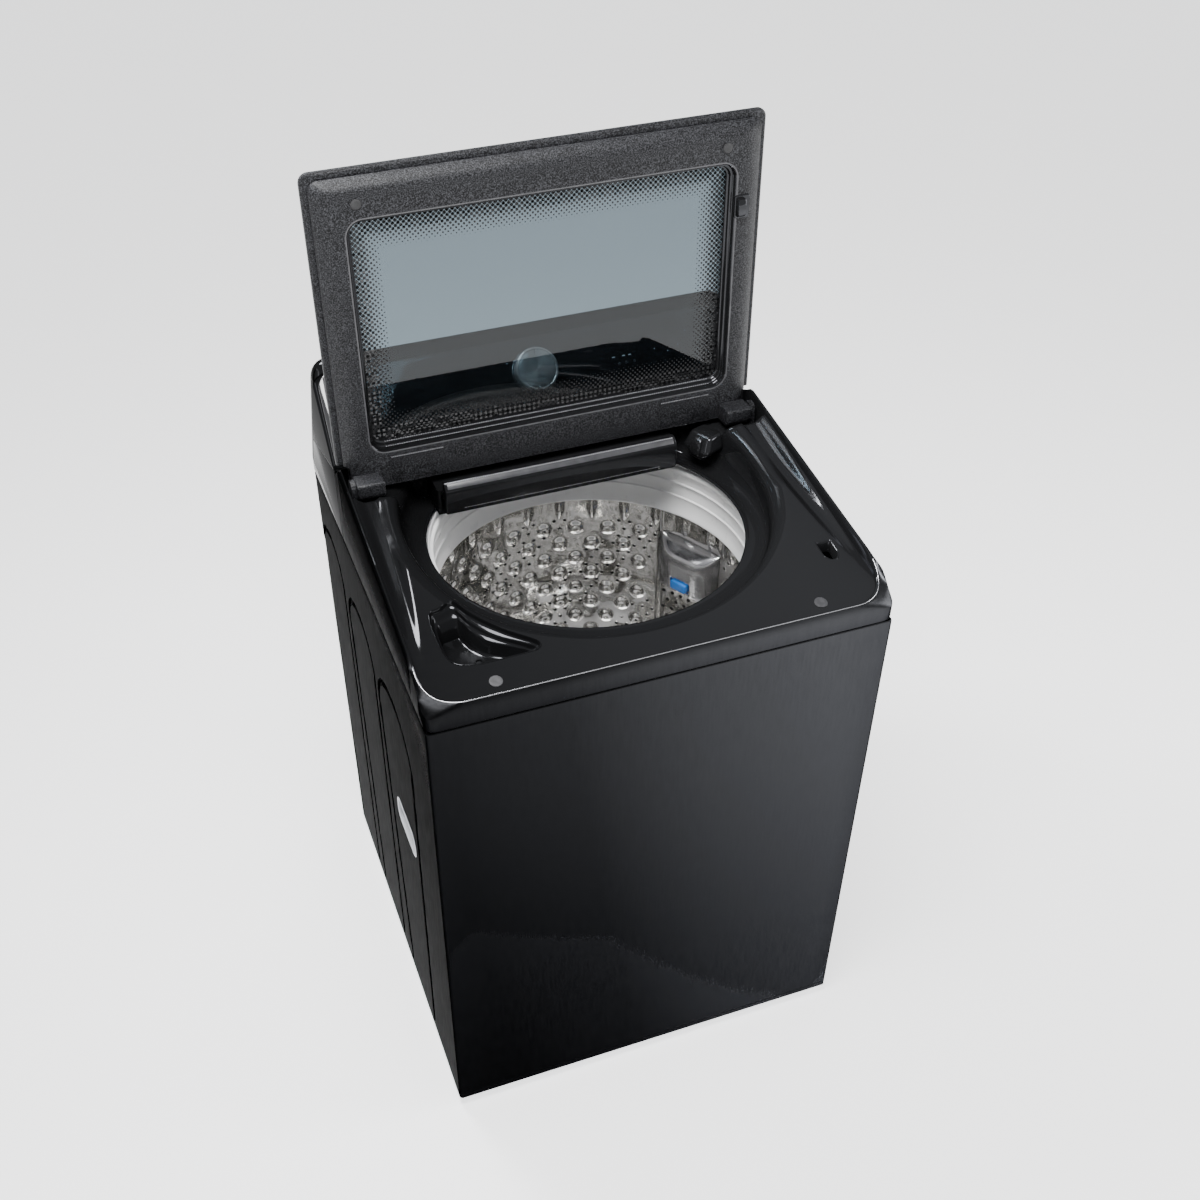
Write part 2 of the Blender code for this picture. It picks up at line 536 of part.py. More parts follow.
def tub():
    wall = 0.003
    inner_r = TUB_R - wall
    profile = [(0.0270, 0.1700), (0.2500, 0.1700), (0.2800, 0.1780), (TUB_R, 0.1980), (TUB_R, 0.8300),
               (inner_r, 0.8300), (inner_r, 0.1995), (0.2780, 0.1810), (0.2490, 0.1735), (0.0270, 0.1735)]
    bucket = finish("outer_tub", lathe(profile, BIG_ROUND, TUB_X, TUB_Y), GREY_PLASTIC)
    for index, (x, y) in enumerate(rod_places()):
        sleeve = lathe([(0.0055, 0.4200), (0.0055, 0.4170), (0.0175, 0.4170), (0.0175, 0.3560),
                        (0.0200, 0.3560), (0.0200, 0.4200)], SMALL_ROUND, x, y)
        ear = cutter("ear%d" % index, sleeve)
        angle = math.atan2(y - TUB_Y, x - TUB_X)
        rib = box(TUB_R - 0.0015, math.hypot(x - TUB_X, y - TUB_Y) - 0.0185, -0.006, 0.006, 0.3600, 0.4180)
        turn(rib, Matrix.Translation((TUB_X, TUB_Y, 0)) @ Matrix.Rotation(angle, 4, "Z"))
        boolean(ear, cutter("rib%d" % index, rib), "UNION")
        boolean(bucket, ear, "UNION")
    cover = [(TUB_R + 0.0005, 0.8303), (TUB_R + 0.0005, 0.8795), (0.2500, 0.8795), (0.2490, 0.8845),
             (0.2465, 0.8845), (0.2465, 0.8770), (TUB_R - 0.0025, 0.8770), (TUB_R - 0.0025, 0.8303)]
    finish("tub_cover", lathe(cover, BIG_ROUND, TUB_X, TUB_Y), GREY_PLASTIC)
    housing = [(0.0263, 0.1000), (0.0360, 0.1000), (0.0380, 0.1480), (0.1200, 0.1560), (0.1200, 0.1697),
               (0.0263, 0.1697)]
    finish("bearing_housing", lathe(housing, MID_ROUND, TUB_X, TUB_Y), CAST_ALLOY)
    for name, low, high in (("bearing_lower", 0.1030, 0.1150), ("bearing_upper", 0.1480, 0.1600)):
        race = [(0.0156, low), (0.0260, low), (0.0260, high), (0.0156, high)]
        finish(name, lathe(race, MID_ROUND, TUB_X, TUB_Y), STEEL)
    lips = [(0.0157, 0.1640), (0.0258, 0.1640), (0.0258, 0.1750), (0.0157, 0.1750)]
    finish("shaft_seal", lathe(lips, MID_ROUND, TUB_X, TUB_Y), BLACK_RUBBER)
    stator_ring()


def stator_ring():
    """Motor stator: a toothed ring, with a web bolted under the bearing housing."""
    teeth = 18
    outline = []
    for k in range(teeth):
        middle = 2 * math.pi * k / teeth
        for offset, r in ((-0.12, 0.098), (-0.10, 0.120), (0.10, 0.120), (0.12, 0.098)):
            a = middle + offset
            outline.append((TUB_X + r * math.cos(a), TUB_Y + r * math.sin(a)))
    ring = finish("motor_stator", prism(outline, 0.0640, 0.0997), CAST_ALLOY)
    bore = [(0, 0.0), (0.060, 0.0), (0.060, 0.0940), (0.0180, 0.0940), (0.0180, 0.2), (0, 0.2)]
    hole = lathe(bore, MID_ROUND, TUB_X, TUB_Y)
    return boolean(ring, cutter("stator_hole", hole))


# ---------------------------------------------------------------- drum, pulsator and drive
def wall_block(inner_r, outer_r, half_angle, low, high, steps=6, draft=0.0):
    """A block that follows the drum wall, centred on +X of the drum's own axis."""
    def ring(r_in, half, z):
        inside = [(r_in * math.cos(math.radians(a)), r_in * math.sin(math.radians(a)), z)
                  for a in [half * (1 - 2 * i / steps) for i in range(steps + 1)]]
        outside = [(outer_r * math.cos(math.radians(a)), outer_r * math.sin(math.radians(a)), z)
                   for a in [half * (2 * i / steps - 1) for i in range(steps + 1)]]
        return outside + inside
    mid_low, mid_high = low + 0.015, high - 0.015
    lift = min(inner_r + 0.012, outer_r - 0.003)
    return loft([ring(lift, half_angle - draft, low), ring(inner_r, half_angle, mid_low),
                 ring(inner_r, half_angle, mid_high), ring(lift, half_angle - draft, high)])


def drum_place(angle):
    return Matrix.Translation((TUB_X, TUB_Y, 0)) @ Matrix.Rotation(math.radians(angle), 4, "Z")


def drum():
    wall = 0.0012
    profile = [(0.0400, 0.1935), (0.2300, 0.1935), (0.2560, 0.2020), (DRUM_R, 0.2200), (DRUM_R, 0.7847),
               (DRUM_R - wall, 0.7847), (DRUM_R - wall, 0.2210), (0.2545, 0.2038), (0.2290, 0.1955),
               (0.0400, 0.1955)]
    finish("drum", lathe(profile, BIG_ROUND, TUB_X, TUB_Y), STEEL)
    ring = [(RING_R + 0.0015, RING_BOTTOM), (0.2700, RING_BOTTOM), (0.2720, 0.8700), (0.2660, RING_TOP),
            (RING_R + 0.004, RING_TOP), (RING_R, 0.8690), (RING_R + 0.006, 0.8350), (RING_R + 0.003, 0.8100)]
    finish("balance_ring", lathe(ring, BIG_ROUND, TUB_X, TUB_Y), WHITE_PLASTIC)
    hub = [(0.0105, 0.0960), (0.0152, 0.0960), (0.0152, 0.1770), (0.0300, 0.1770), (0.1300, 0.1860),
           (0.1300, 0.1930), (0.0152, 0.1930), (0.0152, 0.1980), (0.0105, 0.1980)]
    finish("drum_hub", lathe(hub, MID_ROUND, TUB_X, TUB_Y), CAST_ALLOY)
    channel = wall_block(0.2530, DRUM_R - wall - CHORD, 13.0, 0.2300, 0.6300)
    finish("wash_channel", turn(channel, drum_place(FILTER_ANGLE)), STEEL)
    case = wall_block(0.2260, DRUM_R - wall - CHORD, 13.5, 0.6303, 0.7300, draft=3.0)
    body = finish("lint_filter", turn(case, drum_place(FILTER_ANGLE)), DARK_CHROME)
    tab_hole = turn(box(0.2200, 0.2420, -0.0170, 0.0170, 0.6460, 0.6640), drum_place(FILTER_ANGLE))
    boolean(body, cutter("tab_hole", tab_hole))
    tab = turn(box(0.2245, 0.2340, -0.0165, 0.0165, 0.6465, 0.6635), drum_place(FILTER_ANGLE))
    finish("filter_tab", tab, BLUE)


def pulsator():
    dish = [(0.0112, 0.2000), (0.1700, 0.2000), (0.1780, 0.2040), (0.1740, 0.2100), (0.0900, 0.2160),
            (0.0360, 0.2260), (0.0300, 0.2320), (0.0112, 0.2320)]
    plate = finish("pulsator", lathe(dish, MID_ROUND, TUB_X, TUB_Y), WHITE_PLASTIC)
    vanes = 6
    def fin_section(r_in, half_in, z_in, r_out, half_out, z_out):
        return [(r_in, -half_in, z_in), (r_out, -half_out, z_out), (r_out, half_out, z_out),
                (r_in, half_in, z_in)]
    for k in range(vanes):
        fin = loft([fin_section(0.028, 0.010, 0.205, 0.168, 0.014, 0.205),
                    fin_section(0.028, 0.005, 0.246, 0.158, 0.004, 0.226)])
        boolean(plate, cutter("vane%d" % k, turn(fin, drum_place(360 * k / vanes))), "UNION")
    cap = [(0.0, 0.2470), (0.0240, 0.2470), (0.0240, 0.2490), (0.0180, 0.2540), (0, 0.2560)]
    finish("pulsator_cap", lathe(cap, MID_ROUND, TUB_X, TUB_Y), GREY_PLASTIC)
    shaft = [(0, 0.0420), (0.0100, 0.0420), (0.0100, 0.2467), (0, 0.2467)]
    finish("drive_shaft", lathe(shaft, MID_ROUND, TUB_X, TUB_Y), STEEL)
    rotor = [(0.0103, 0.0480), (0.1290, 0.0480), (0.1290, 0.0960), (0.1250, 0.0960), (0.1250, 0.0520),
             (0.0200, 0.0520), (0.0200, 0.0620), (0.0103, 0.0620)]
    finish("motor_rotor", lathe(rotor, MID_ROUND, TUB_X, TUB_Y), GALVANISED)


# ---------------------------------------------------------------- lid
def lid_matrix():
    """Lid space (x, along the lid from its lower inner edge, outward thickness) to the open lid."""
    along = Vector((0, math.cos(LID_LEAN), math.sin(LID_LEAN)))
    out = Vector((0, math.sin(LID_LEAN), -math.cos(LID_LEAN)))
    m = Matrix(((1, 0, 0), (0, along.y, out.y), (0, along.z, out.z))).to_4x4()
    return Matrix.Translation((0, LID_Y, LID_Z)) @ m


def lid_ring(half, low, high, r, t, steps=4):
    return [(x, s, t) for x, s in rounded_rect(-half, half, low, high, r, steps)]


def lid():
    m = lid_matrix()
    half, low, high = WINDOW
    inner = loft([lid_ring(0.306, 0.004, 0.448, 0.014, 0.0), lid_ring(0.330, 0.002, 0.4660, 0.014, 0.0180),
                  lid_ring(0.330, 0.002, 0.4660, 0.014, 0.0198)])
    frame = finish("lid_inner_frame", turn(inner, m), GRAPHITE)
    hole = loft([lid_ring(half, low, high, 0.022, -0.01), lid_ring(half, low, high, 0.022, 0.05)])
    boolean(frame, cutter("lid_window", turn(hole, m)))
    outer = loft([lid_ring(0.3375, 0.003, 0.4735, 0.012, 0.0201),
                  lid_ring(LID_HALF_W, 0.001, LID_LEN, 0.014, 0.0235),
                  lid_ring(LID_HALF_W, 0.001, LID_LEN, 0.014, 0.0270),
                  lid_ring(0.3380, 0.003, 0.4745, 0.014, LID_T)])
    surround = finish("lid_outer_frame", turn(outer, m), GRAPHITE)
    seat = loft([lid_ring(0.3220, 0.0180, 0.4580, 0.010, t) for t in (0.0240, 0.05)])
    boolean(surround, cutter("glass_seat", turn(seat, m)))
    through = loft([lid_ring(0.3000, 0.0500, 0.4220, 0.020, t) for t in (0.0, 0.05)])
    boolean(surround, cutter("glass_light", turn(through, m)))
    for side in (-1, 1):
        ends = sorted((side * NOTCH_W, side * 0.36))
        notch = cutter("lid_notch%+d" % side, turn(box(ends[0], ends[1], -0.05, NOTCH_S, -0.02, 0.06), m))
        boolean(frame, notch)
        boolean(surround, notch)
    pane = loft([lid_ring(0.3217, 0.0183, 0.4577, 0.010, t) for t in (0.0243, 0.0283)])
    finish("lid_glass", turn(pane, m), TINTED)
    for side, word in ((-1, "left"), (1, "right")):
        profile = [(0, -0.0020), (0.0060, -0.0020), (0.0075, -0.0010), (0.0075, -GAP), (0, -GAP)]
        place = m @ Matrix.Translation((side * 0.271, 0.4335, 0))
        finish("lid_bumper_" + word, turn(lathe(profile, SMALL_ROUND), place), BLACK_RUBBER)
        outline = [(PIVOT_Y + 0.0147, PIVOT_Z - 0.0175), (PIVOT_Y + 0.0147, PIVOT_Z + 0.0175)]
        outline += arc(PIVOT_Y, PIVOT_Z, 0.0175, 90, 270, 10)
        ends = sorted((side * 0.2790, side * 0.3220))
        knuckle = finish("hinge_knuckle_" + word, prism(outline, ends[0], ends[1], "X"), GRAPHITE)
        bore = prism(circle(PIVOT_Y, PIVOT_Z, 0.0056), *sorted((side * 0.294, side * 0.34)), axis="X")
        boolean(knuckle, cutter("knuckle_bore_" + word, bore))
        ends = sorted((side * 0.176, side * 0.262))
        cover = box(ends[0], ends[1], 0.0100, 0.0520, -0.0012, -GAP)
        finish("rail_cover_" + word, turn(cover, m), GRAPHITE)
    strike = prism([(0.3385, -0.0110), (0.3600, -0.0110), (0.3600, -GAP), (0.3330, -GAP), (0.3330, -0.0060)],
                   0.2885, 0.3005, "X")
    finish("latch_strike", turn(strike, m), BLACK_GLOSS)


# ---------------------------------------------------------------- assembly
def build():
    cabinet()
    handhold(-1, "handhold_cup_left")
    handhold(1, "handhold_cup_right")
    rear_panel()
    base_frame()
    levelling_feet()
    top_cover()
    bleach_cup()
    lid_pads()
    lid_lock()
    dispenser()
    water_nozzle()
    hinge_brackets()
    console()
    knob()
    services()
    suspension()
    tub()
    drum()
    pulsator()
    lid()


build()
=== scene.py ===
"""Looks of the top-loading washing machine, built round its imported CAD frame.

Metres, +Z up, the front faces -Y. Every piece lies where its CAD node lies.
"""
import math

import bmesh
import bpy
import numpy as np
from mathutils import Matrix, Vector


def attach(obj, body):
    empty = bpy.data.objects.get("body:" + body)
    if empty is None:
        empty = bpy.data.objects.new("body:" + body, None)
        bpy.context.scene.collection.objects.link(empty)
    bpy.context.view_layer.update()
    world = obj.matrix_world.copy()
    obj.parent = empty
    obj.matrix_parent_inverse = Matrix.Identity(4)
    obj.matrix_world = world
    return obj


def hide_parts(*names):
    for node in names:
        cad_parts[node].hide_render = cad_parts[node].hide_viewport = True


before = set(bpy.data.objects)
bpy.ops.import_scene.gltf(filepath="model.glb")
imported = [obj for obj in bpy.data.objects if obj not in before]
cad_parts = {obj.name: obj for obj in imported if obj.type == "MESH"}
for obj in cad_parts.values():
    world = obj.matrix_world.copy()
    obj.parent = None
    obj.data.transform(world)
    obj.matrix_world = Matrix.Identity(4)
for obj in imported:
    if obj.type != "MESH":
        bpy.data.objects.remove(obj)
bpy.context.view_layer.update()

# ------------------------------------------------------------ sizes, shared with the CAD part
HALF_W, HALF_D = 0.343, 0.3495
FLOOR_GAP, SEAM_Z = 0.020, 0.8550          # cabinet's lower and upper edge
DECK_TILT = math.radians(12.5)
DECK_Y, DECK_Z = -0.323, 0.895             # a point of the deck plane
PAD_X = 0.2375                             # lid's rest pads
OPENING = Vector((0.0, -0.030))            # centre of the loading opening
LIP_Z = 0.891                              # top of the lip round the opening
REAR_Y = 0.134                             # the deck moulding meets the console's seat here
TROUGH_Z = 0.945
TUB = Vector((0.010, -0.033))              # axis of tub, drum and pulsator
DRUM_R = 0.2636
PIVOT_Y, PIVOT_Z = 0.084, 0.972
LID_ORIGIN = Vector((0.0, 0.0994, 0.951))
LID_LEAN = math.radians(88.0)
WIN_X, WIN_LOW, WIN_HIGH = 0.287, 0.062, 0.410      # window of the lid, half width and ends
FACE_LOW, FACE_HIGH = Vector((0.1370, 0.9790)), Vector((0.2265, 1.0990))   # console face, (y, z)
FACE_DIR = (FACE_HIGH - FACE_LOW).normalized()
FACE_OUT = Vector((-FACE_DIR.y, FACE_DIR.x))
KNOB_ALONG = 0.090
FILTER_ANGLE = math.radians(27.0)

DARK_EDGE = (0.01, 0.01, 0.011, 1.0)        # keeps dark finishes dark at glancing angles


# ------------------------------------------------------------ material helpers
class Look:
    """A Principled material with procedural detail added step by step."""

    def __init__(self, name, colour, rough, metal=0.0, **sockets):
        self.mat = bpy.data.materials.new(name)
        self.mat.use_nodes = True
        self.nodes = self.mat.node_tree.nodes
        self.links = self.mat.node_tree.links
        self.shader = self.nodes["Principled BSDF"]
        self.colour = colour
        self.rough = rough
        self.put("Base Color", (*colour, 1.0))
        self.put("Roughness", rough)
        self.put("Metallic", metal)
        for socket, value in sockets.items():
            self.put(socket.replace("_", " "), value)
        self.normal = None

    def put(self, socket, value):
        self.shader.inputs[socket].default_value = value

    def node(self, kind, **values):
        made = self.nodes.new(kind)
        for key, value in values.items():
            if hasattr(made, key):
                setattr(made, key, value)
            else:
                made.inputs[key.replace("_", " ")].default_value = value
        return made

    def coords(self, stretch=(1, 1, 1)):
        where = self.node("ShaderNodeTexCoord")
        mapping = self.node("ShaderNodeMapping", Scale=stretch)
        self.links.new(where.outputs["Object"], mapping.inputs["Vector"])
        return mapping.outputs["Vector"]

    def noise(self, scale, detail=3.0, stretch=(1, 1, 1), kind="ShaderNodeTexNoise"):
        tex = self.node(kind)
        tex.inputs["Scale"].default_value = scale
        if kind == "ShaderNodeTexNoise":
            tex.inputs["Detail"].default_value = detail
        self.links.new(self.coords(stretch), tex.inputs["Vector"])
        return tex.outputs["Distance" if kind == "ShaderNodeTexVoronoi" else "Fac"]

    def bump(self, height, strength, distance):
        made = self.node("ShaderNodeBump", Strength=strength, Distance=distance)
        self.links.new(height, made.inputs["Height"])
        if self.normal:
            self.links.new(self.normal, made.inputs["Normal"])
        self.normal = made.outputs["Normal"]
        self.links.new(self.normal, self.shader.inputs["Normal"])
        return self

    def grain(self, scale, strength, distance, stretch=(1, 1, 1), detail=3.0):
        return self.bump(self.noise(scale, detail, stretch), strength, distance)

    def spread(self, socket, source, low, high, start=0.35, end=0.65):
        """Vary a number or a colour between low and high by a source value."""
        ramp = self.node("ShaderNodeValToRGB")
        ramp.color_ramp.elements[0].position = start
        ramp.color_ramp.elements[1].position = end
        as_colour = lambda v: (*v, 1.0) if hasattr(v, "__len__") else (v, v, v, 1.0)
        ramp.color_ramp.elements[0].color = as_colour(low)
        ramp.color_ramp.elements[1].color = as_colour(high)
        self.links.new(source, ramp.inputs["Fac"])
        self.links.new(ramp.outputs["Color"], self.shader.inputs[socket])
        return self

    def mottle(self, scale, amount, stretch=(1, 1, 1), detail=4.0):
        low = [c * (1 - amount) for c in self.colour]
        high = [min(1.0, c * (1 + amount)) for c in self.colour]
        return self.spread("Base Color", self.noise(scale, detail, stretch), low, high)

    def painted_shade_ramp(self, shade_tones, speck_scale, amount, stretch=(1, 1, 1)):
        """Painted shade: colour darker on the left flank and lifting to the upper right as the light falls,
        broken up by fine noise that is a real grain.
        """
        gain, rise = 1.25, 0.15          # tone per metre across, and how much height counts beside it
        split = self.node("ShaderNodeSeparateXYZ")
        self.links.new(self.coords(), split.inputs[0])
        total = split.outputs["X"]
        for source, weight in ((split.outputs["Z"], rise), (self.noise(speck_scale, 3.0, stretch), amount)):
            add = self.node("ShaderNodeMath", operation="MULTIPLY_ADD")
            add.inputs[1].default_value = weight
            self.links.new(source, add.inputs[0])
            self.links.new(total, add.inputs[2])
            total = add.outputs[0]
        place = self.node("ShaderNodeMath", operation="MULTIPLY_ADD")
        place.inputs[1].default_value = gain
        place.inputs[2].default_value = 0.5 - gain * (0.075 + amount / 2)
        self.links.new(total, place.inputs[0])
        ramp = self.node("ShaderNodeValToRGB")
        stops = ramp.color_ramp.elements
        stops[0].position, stops[1].position = 0.125, 0.875
        for position in (0.375, 0.625):
            stops.new(position)
        for stop, tone in zip(stops, shade_tones):
            stop.color = (tone, tone * 1.02, tone * 1.09, 1.0)
        self.links.new(place.outputs[0], ramp.inputs["Fac"])
        self.links.new(ramp.outputs["Color"], self.shader.inputs["Base Color"])
        return self

    def worn(self, scale, amount, stretch=(1, 1, 1)):
        source = self.noise(scale, 5.0, stretch)
        return self.spread("Roughness", source, self.rough * (1 - amount), self.rough * (1 + amount))


def black_steel():
    """Satin black-stainless coating with a fine upright grain, and painted shade: darker on the left flank,
    lighter to the upper right.
    """
    look = Look("black_steel_painted_shade_finish", (0.030, 0.031, 0.034), 0.36, 1.0, Specular_Tint=DARK_EDGE)
    look.painted_shade_ramp((0.0085, 0.0140, 0.0300, 0.0440), 900, 0.06, (1.0, 1.0, 0.04)).worn(260, 0.12, (1, 1, 0.1))
    return look.grain(1600, 0.05, 0.0001, (1, 1, 0.05)).mat


def black_gloss():
    """Moulded gloss black, with a faint ripple, fine wiping marks, and painted shade: darker on the left,
    lighter to the upper right.
    """
    look = Look("black_gloss_painted_shade_finish", (0.040, 0.041, 0.044), 0.10, 0.8, Specular_Tint=DARK_EDGE,
                Specular_IOR_Level=0.08)
    look.painted_shade_ramp((0.018, 0.028, 0.038, 0.045), 6, 0.08).worn(35, 0.30, (1, 3, 1))
    return look.grain(22, 0.05, 0.0006).mat


def black_glass():
    look = Look("console_glass_finish", (0.034, 0.034, 0.036), 0.05, Coat_Weight=0.6, Coat_Roughness=0.03)
    return look.mottle(9, 0.3).worn(30, 0.35).mat


def graphite(name="graphite_finish", rough=0.50):
    """Fine-speckled matte plastic of the lid."""
    look = Look(name, (0.016, 0.016, 0.018), rough, Specular_IOR_Level=0.22)
    speck = look.noise(600, 2.0)
    look.spread("Base Color", speck, (0.001, 0.001, 0.0015), (0.046, 0.047, 0.052), 0.42, 0.70)
    look.bump(speck, 0.70, 0.0007)
    return look.worn(700, 0.25).mat


def white_plastic():
    look = Look("white_plastic_finish", (0.82, 0.82, 0.82), 0.34)
    return look.mottle(14, 0.035).worn(60, 0.2).grain(420, 0.05, 0.0003).mat


def grey_plastic():
    look = Look("grey_plastic_finish", (0.42, 0.43, 0.45), 0.42)
    return look.mottle(20, 0.05).worn(90, 0.2).grain(600, 0.08, 0.0003).mat


def polished_steel():
    """Bright-rolled stainless, slightly wavy from pressing."""
    look = Look("polished_steel_finish", (0.84, 0.83, 0.81), 0.07, 1.0)
    look.mottle(5, 0.07).worn(28, 0.45)
    return look.grain(26, 0.22, 0.0016).grain(900, 0.04, 0.0002, (1, 1, 0.1)).mat


# Painted shade: near-black discs that close the holes, standing for the dark space behind them.
def painted_hole_shade():
    look = Look("painted_hole_shade_finish", (0.006, 0.006, 0.006), 0.7)
    return look.mottle(80, 0.5).mat


def zinc():
    look = Look("zinc_finish", (0.50, 0.51, 0.53), 0.38, 0.9)
    flakes = look.noise(90, kind="ShaderNodeTexVoronoi")
    look.spread("Base Color", flakes, (0.58, 0.59, 0.61), (0.40, 0.41, 0.43), 0.0, 0.5)
    return look.worn(120, 0.3).grain(300, 0.10, 0.0003).mat


def cast_alloy():
    look = Look("cast_alloy_finish", (0.45, 0.45, 0.46), 0.52, 0.9)
    return look.mottle(60, 0.15).grain(500, 0.35, 0.0006).mat


def brushed_alloy():
    """Knob face: fine circular brushing, and colour swinging light and dark with the angle as a painted
    highlight of the brushed sheen.
    """
    look = Look("brushed_alloy_finish", (0.80, 0.77, 0.75), 0.30, 0.45)
    # painted highlight: colour swings light and dark with the angle round the axis, standing for the brushed
    # sheen
    spin = look.node("ShaderNodeTexGradient", gradient_type="RADIAL")
    look.links.new(look.coords(), spin.inputs["Vector"])
    sheen_sectors = look.node("ShaderNodeMath", operation="MULTIPLY")
    sheen_sectors.inputs[1].default_value = 4 * math.pi
    look.links.new(spin.outputs["Fac"], sheen_sectors.inputs[0])
    wave = look.node("ShaderNodeMath", operation="SINE")
    look.links.new(sheen_sectors.outputs[0], wave.inputs[0])
    look.spread("Base Color", wave.outputs[0], (0.66, 0.64, 0.63), (1.0, 0.98, 0.96), 0.0, 1.0)
    rings = look.node("ShaderNodeTexWave", wave_type="RINGS", rings_direction="Z", Scale=900.0,
                      Distortion=1.2)
    look.links.new(look.coords(), rings.inputs["Vector"])
    return look.bump(rings.outputs["Fac"], 0.12, 0.0001).mat


def dark_chrome():
    look = Look("dark_chrome_finish", (0.62, 0.62, 0.64), 0.20, 1.0)
    return look.mottle(12, 0.1).worn(40, 0.3).grain(30, 0.05, 0.001).mat


def blue_plastic():
    look = Look("blue_plastic_finish", (0.035, 0.19, 0.62), 0.22, Transmission_Weight=0.15)
    return look.mottle(30, 0.15).grain(200, 0.05, 0.0003).mat


def rubber(name="rubber_finish", colour=(0.018, 0.018, 0.019), rough=0.72):
    return Look(name, colour, rough).mottle(200, 0.25).grain(700, 0.30, 0.0005).mat


def tinted_glass():
    look = Look("lid_glass_finish", (0.110, 0.146, 0.168), 0.0, Transmission_Weight=1.0, IOR=1.45)
    return look.grain(3, 0.02, 0.0005).mat


def frit_ink():
    return Look("frit_finish", (0.004, 0.004, 0.005), 0.55).mottle(300, 0.3).grain(900, 0.05, 0.0001).mat


def lamp(name, colour, strength):
    look = Look(name, colour, 0.4, Emission_Color=(*colour, 1.0), Emission_Strength=strength)
    return look.mottle(400, 0.1).mat


def green_board():
    return Look("board_finish", (0.02, 0.13, 0.05), 0.45).mottle(150, 0.4).grain(250, 0.3, 0.0004).mat


def light_plastic():
    look = Look("light_plastic_finish", (0.62, 0.62, 0.63), 0.36)
    return look.mottle(18, 0.04).worn(70, 0.2).grain(420, 0.05, 0.0003).mat


# Painted highlight: light grey for rows of small ridges, beads and dashes that stand for dotted highlights
# along edges.
def painted_highlight_dots():
    look = Look("painted_highlight_dots_finish", (0.30, 0.30, 0.32), 0.34, 0.3)
    return look.mottle(300, 0.2).grain(800, 0.10, 0.0002).mat


# Dark satin for the drawer's top strip; also a painted highlight as the thin ring round the lid window's
# edge.
def strip_and_edge_highlight():
    return Look("strip_and_edge_highlight_finish", (0.050, 0.050, 0.054), 0.26).mottle(60, 0.2).grain(700, 0.08, 0.0002).mat


# Painted highlight: bright metal for a thin tube that stands for the highlight along the cover's front edge.
def painted_highlight_line():
    return Look("painted_highlight_line_finish", (0.42, 0.42, 0.44), 0.22, 1.0, Specular_Tint=DARK_EDGE).mottle(60, 0.1).mat


def printed_marks():
    return Look("printed_marks_finish", (0.30, 0.31, 0.33), 0.5).mottle(500, 0.15).mat


SHADED_BLACK_STEEL, SHADED_GLOSS, PANEL_GLASS, GRAPHITE = black_steel(), black_gloss(), black_glass(), graphite()
WHITE, GREY, STEEL, HOLE_SHADE = white_plastic(), grey_plastic(), polished_steel(), painted_hole_shade()
ZINC, CAST, ALLOY, CHROME = zinc(), cast_alloy(), brushed_alloy(), dark_chrome()
BLUE, RUBBER, PAD = blue_plastic(), rubber(), rubber("pad_finish", (0.024, 0.024, 0.027), 0.60)
GLASS, INK, BOARD = tinted_glass(), frit_ink(), green_board()
LED = lamp("indicator_finish", (0.75, 0.82, 0.9), 1.4)
LIGHT_GREY, HIGHLIGHT_DOTS, STRIP_AND_EDGE_HIGHLIGHT = light_plastic(), painted_highlight_dots(), strip_and_edge_highlight()
HIGHLIGHT_LINE, MARKS = painted_highlight_line(), printed_marks()


# ------------------------------------------------------------ mesh helpers
def piece(name, verts, faces, looks, body, slot, stands_for=(), smooth=32.0, face_looks=None):
    """Mesh object that rides on a CAD body and may stand for CAD nodes."""
    mesh = bpy.data.meshes.new(name)
    mesh.from_pydata([tuple(v) for v in verts], [], [tuple(f) for f in faces])
    bm = bmesh.new()
    bm.from_mesh(mesh)
    bmesh.ops.remove_doubles(bm, verts=bm.verts, dist=1e-6)
    bmesh.ops.recalc_face_normals(bm, faces=bm.faces)
    bm.to_mesh(mesh)
    bm.free()
    mesh.shade_smooth()
    mesh.set_sharp_from_angle(angle=math.radians(smooth))
    for look in looks if isinstance(looks, (list, tuple)) else [looks]:
        mesh.materials.append(look)
    if face_looks is not None:
        mesh.polygons.foreach_set("material_index", face_looks)
    made = bpy.data.objects.new(name, mesh)
    bpy.context.scene.collection.objects.link(made)
    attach(made, body)
    if stands_for:
        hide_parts(*stands_for)
    return made


def grid_faces(rows, cols, wrap_rows=False, wrap_cols=False):
    """Quads of a rows x cols grid of vertices."""
    faces = []
    for i in range(rows if wrap_rows else rows - 1):
        a, b = i * cols, ((i + 1) % rows) * cols
        for j in range(cols if wrap_cols else cols - 1):
            k = (j + 1) % cols
            faces.append((a + j, a + k, b + k, b + j))
    return faces


def loft(rings, cap=True, around=False):
    """Solid through rings of equal length; around closes the last ring on the first."""
    count = len(rings[0])
    verts = [p for ring in rings for p in ring]
    faces = grid_faces(len(rings), count, around, True)
    if cap and not around:
        faces.append(tuple(range(count))[::-1])
        faces.append(tuple(range((len(rings) - 1) * count, len(rings) * count)))
    return verts, faces


def lathe(profile, segments=128, centre=TUB, closed=True):
    """Turned solid from a closed (radius, z) profile."""
    rings = []
    for k in range(segments):
        a = 2 * math.pi * k / segments
        rings.append([(centre.x + r * math.cos(a), centre.y + r * math.sin(a), z) for r, z in profile])
    return [p for ring in rings for p in ring], grid_faces(segments, len(profile), True, closed)


def turned(profile, segments):
    """Lathe round the local Z axis, for a piece that is put in place by a matrix."""
    return lathe(profile, segments, Vector((0, 0)))


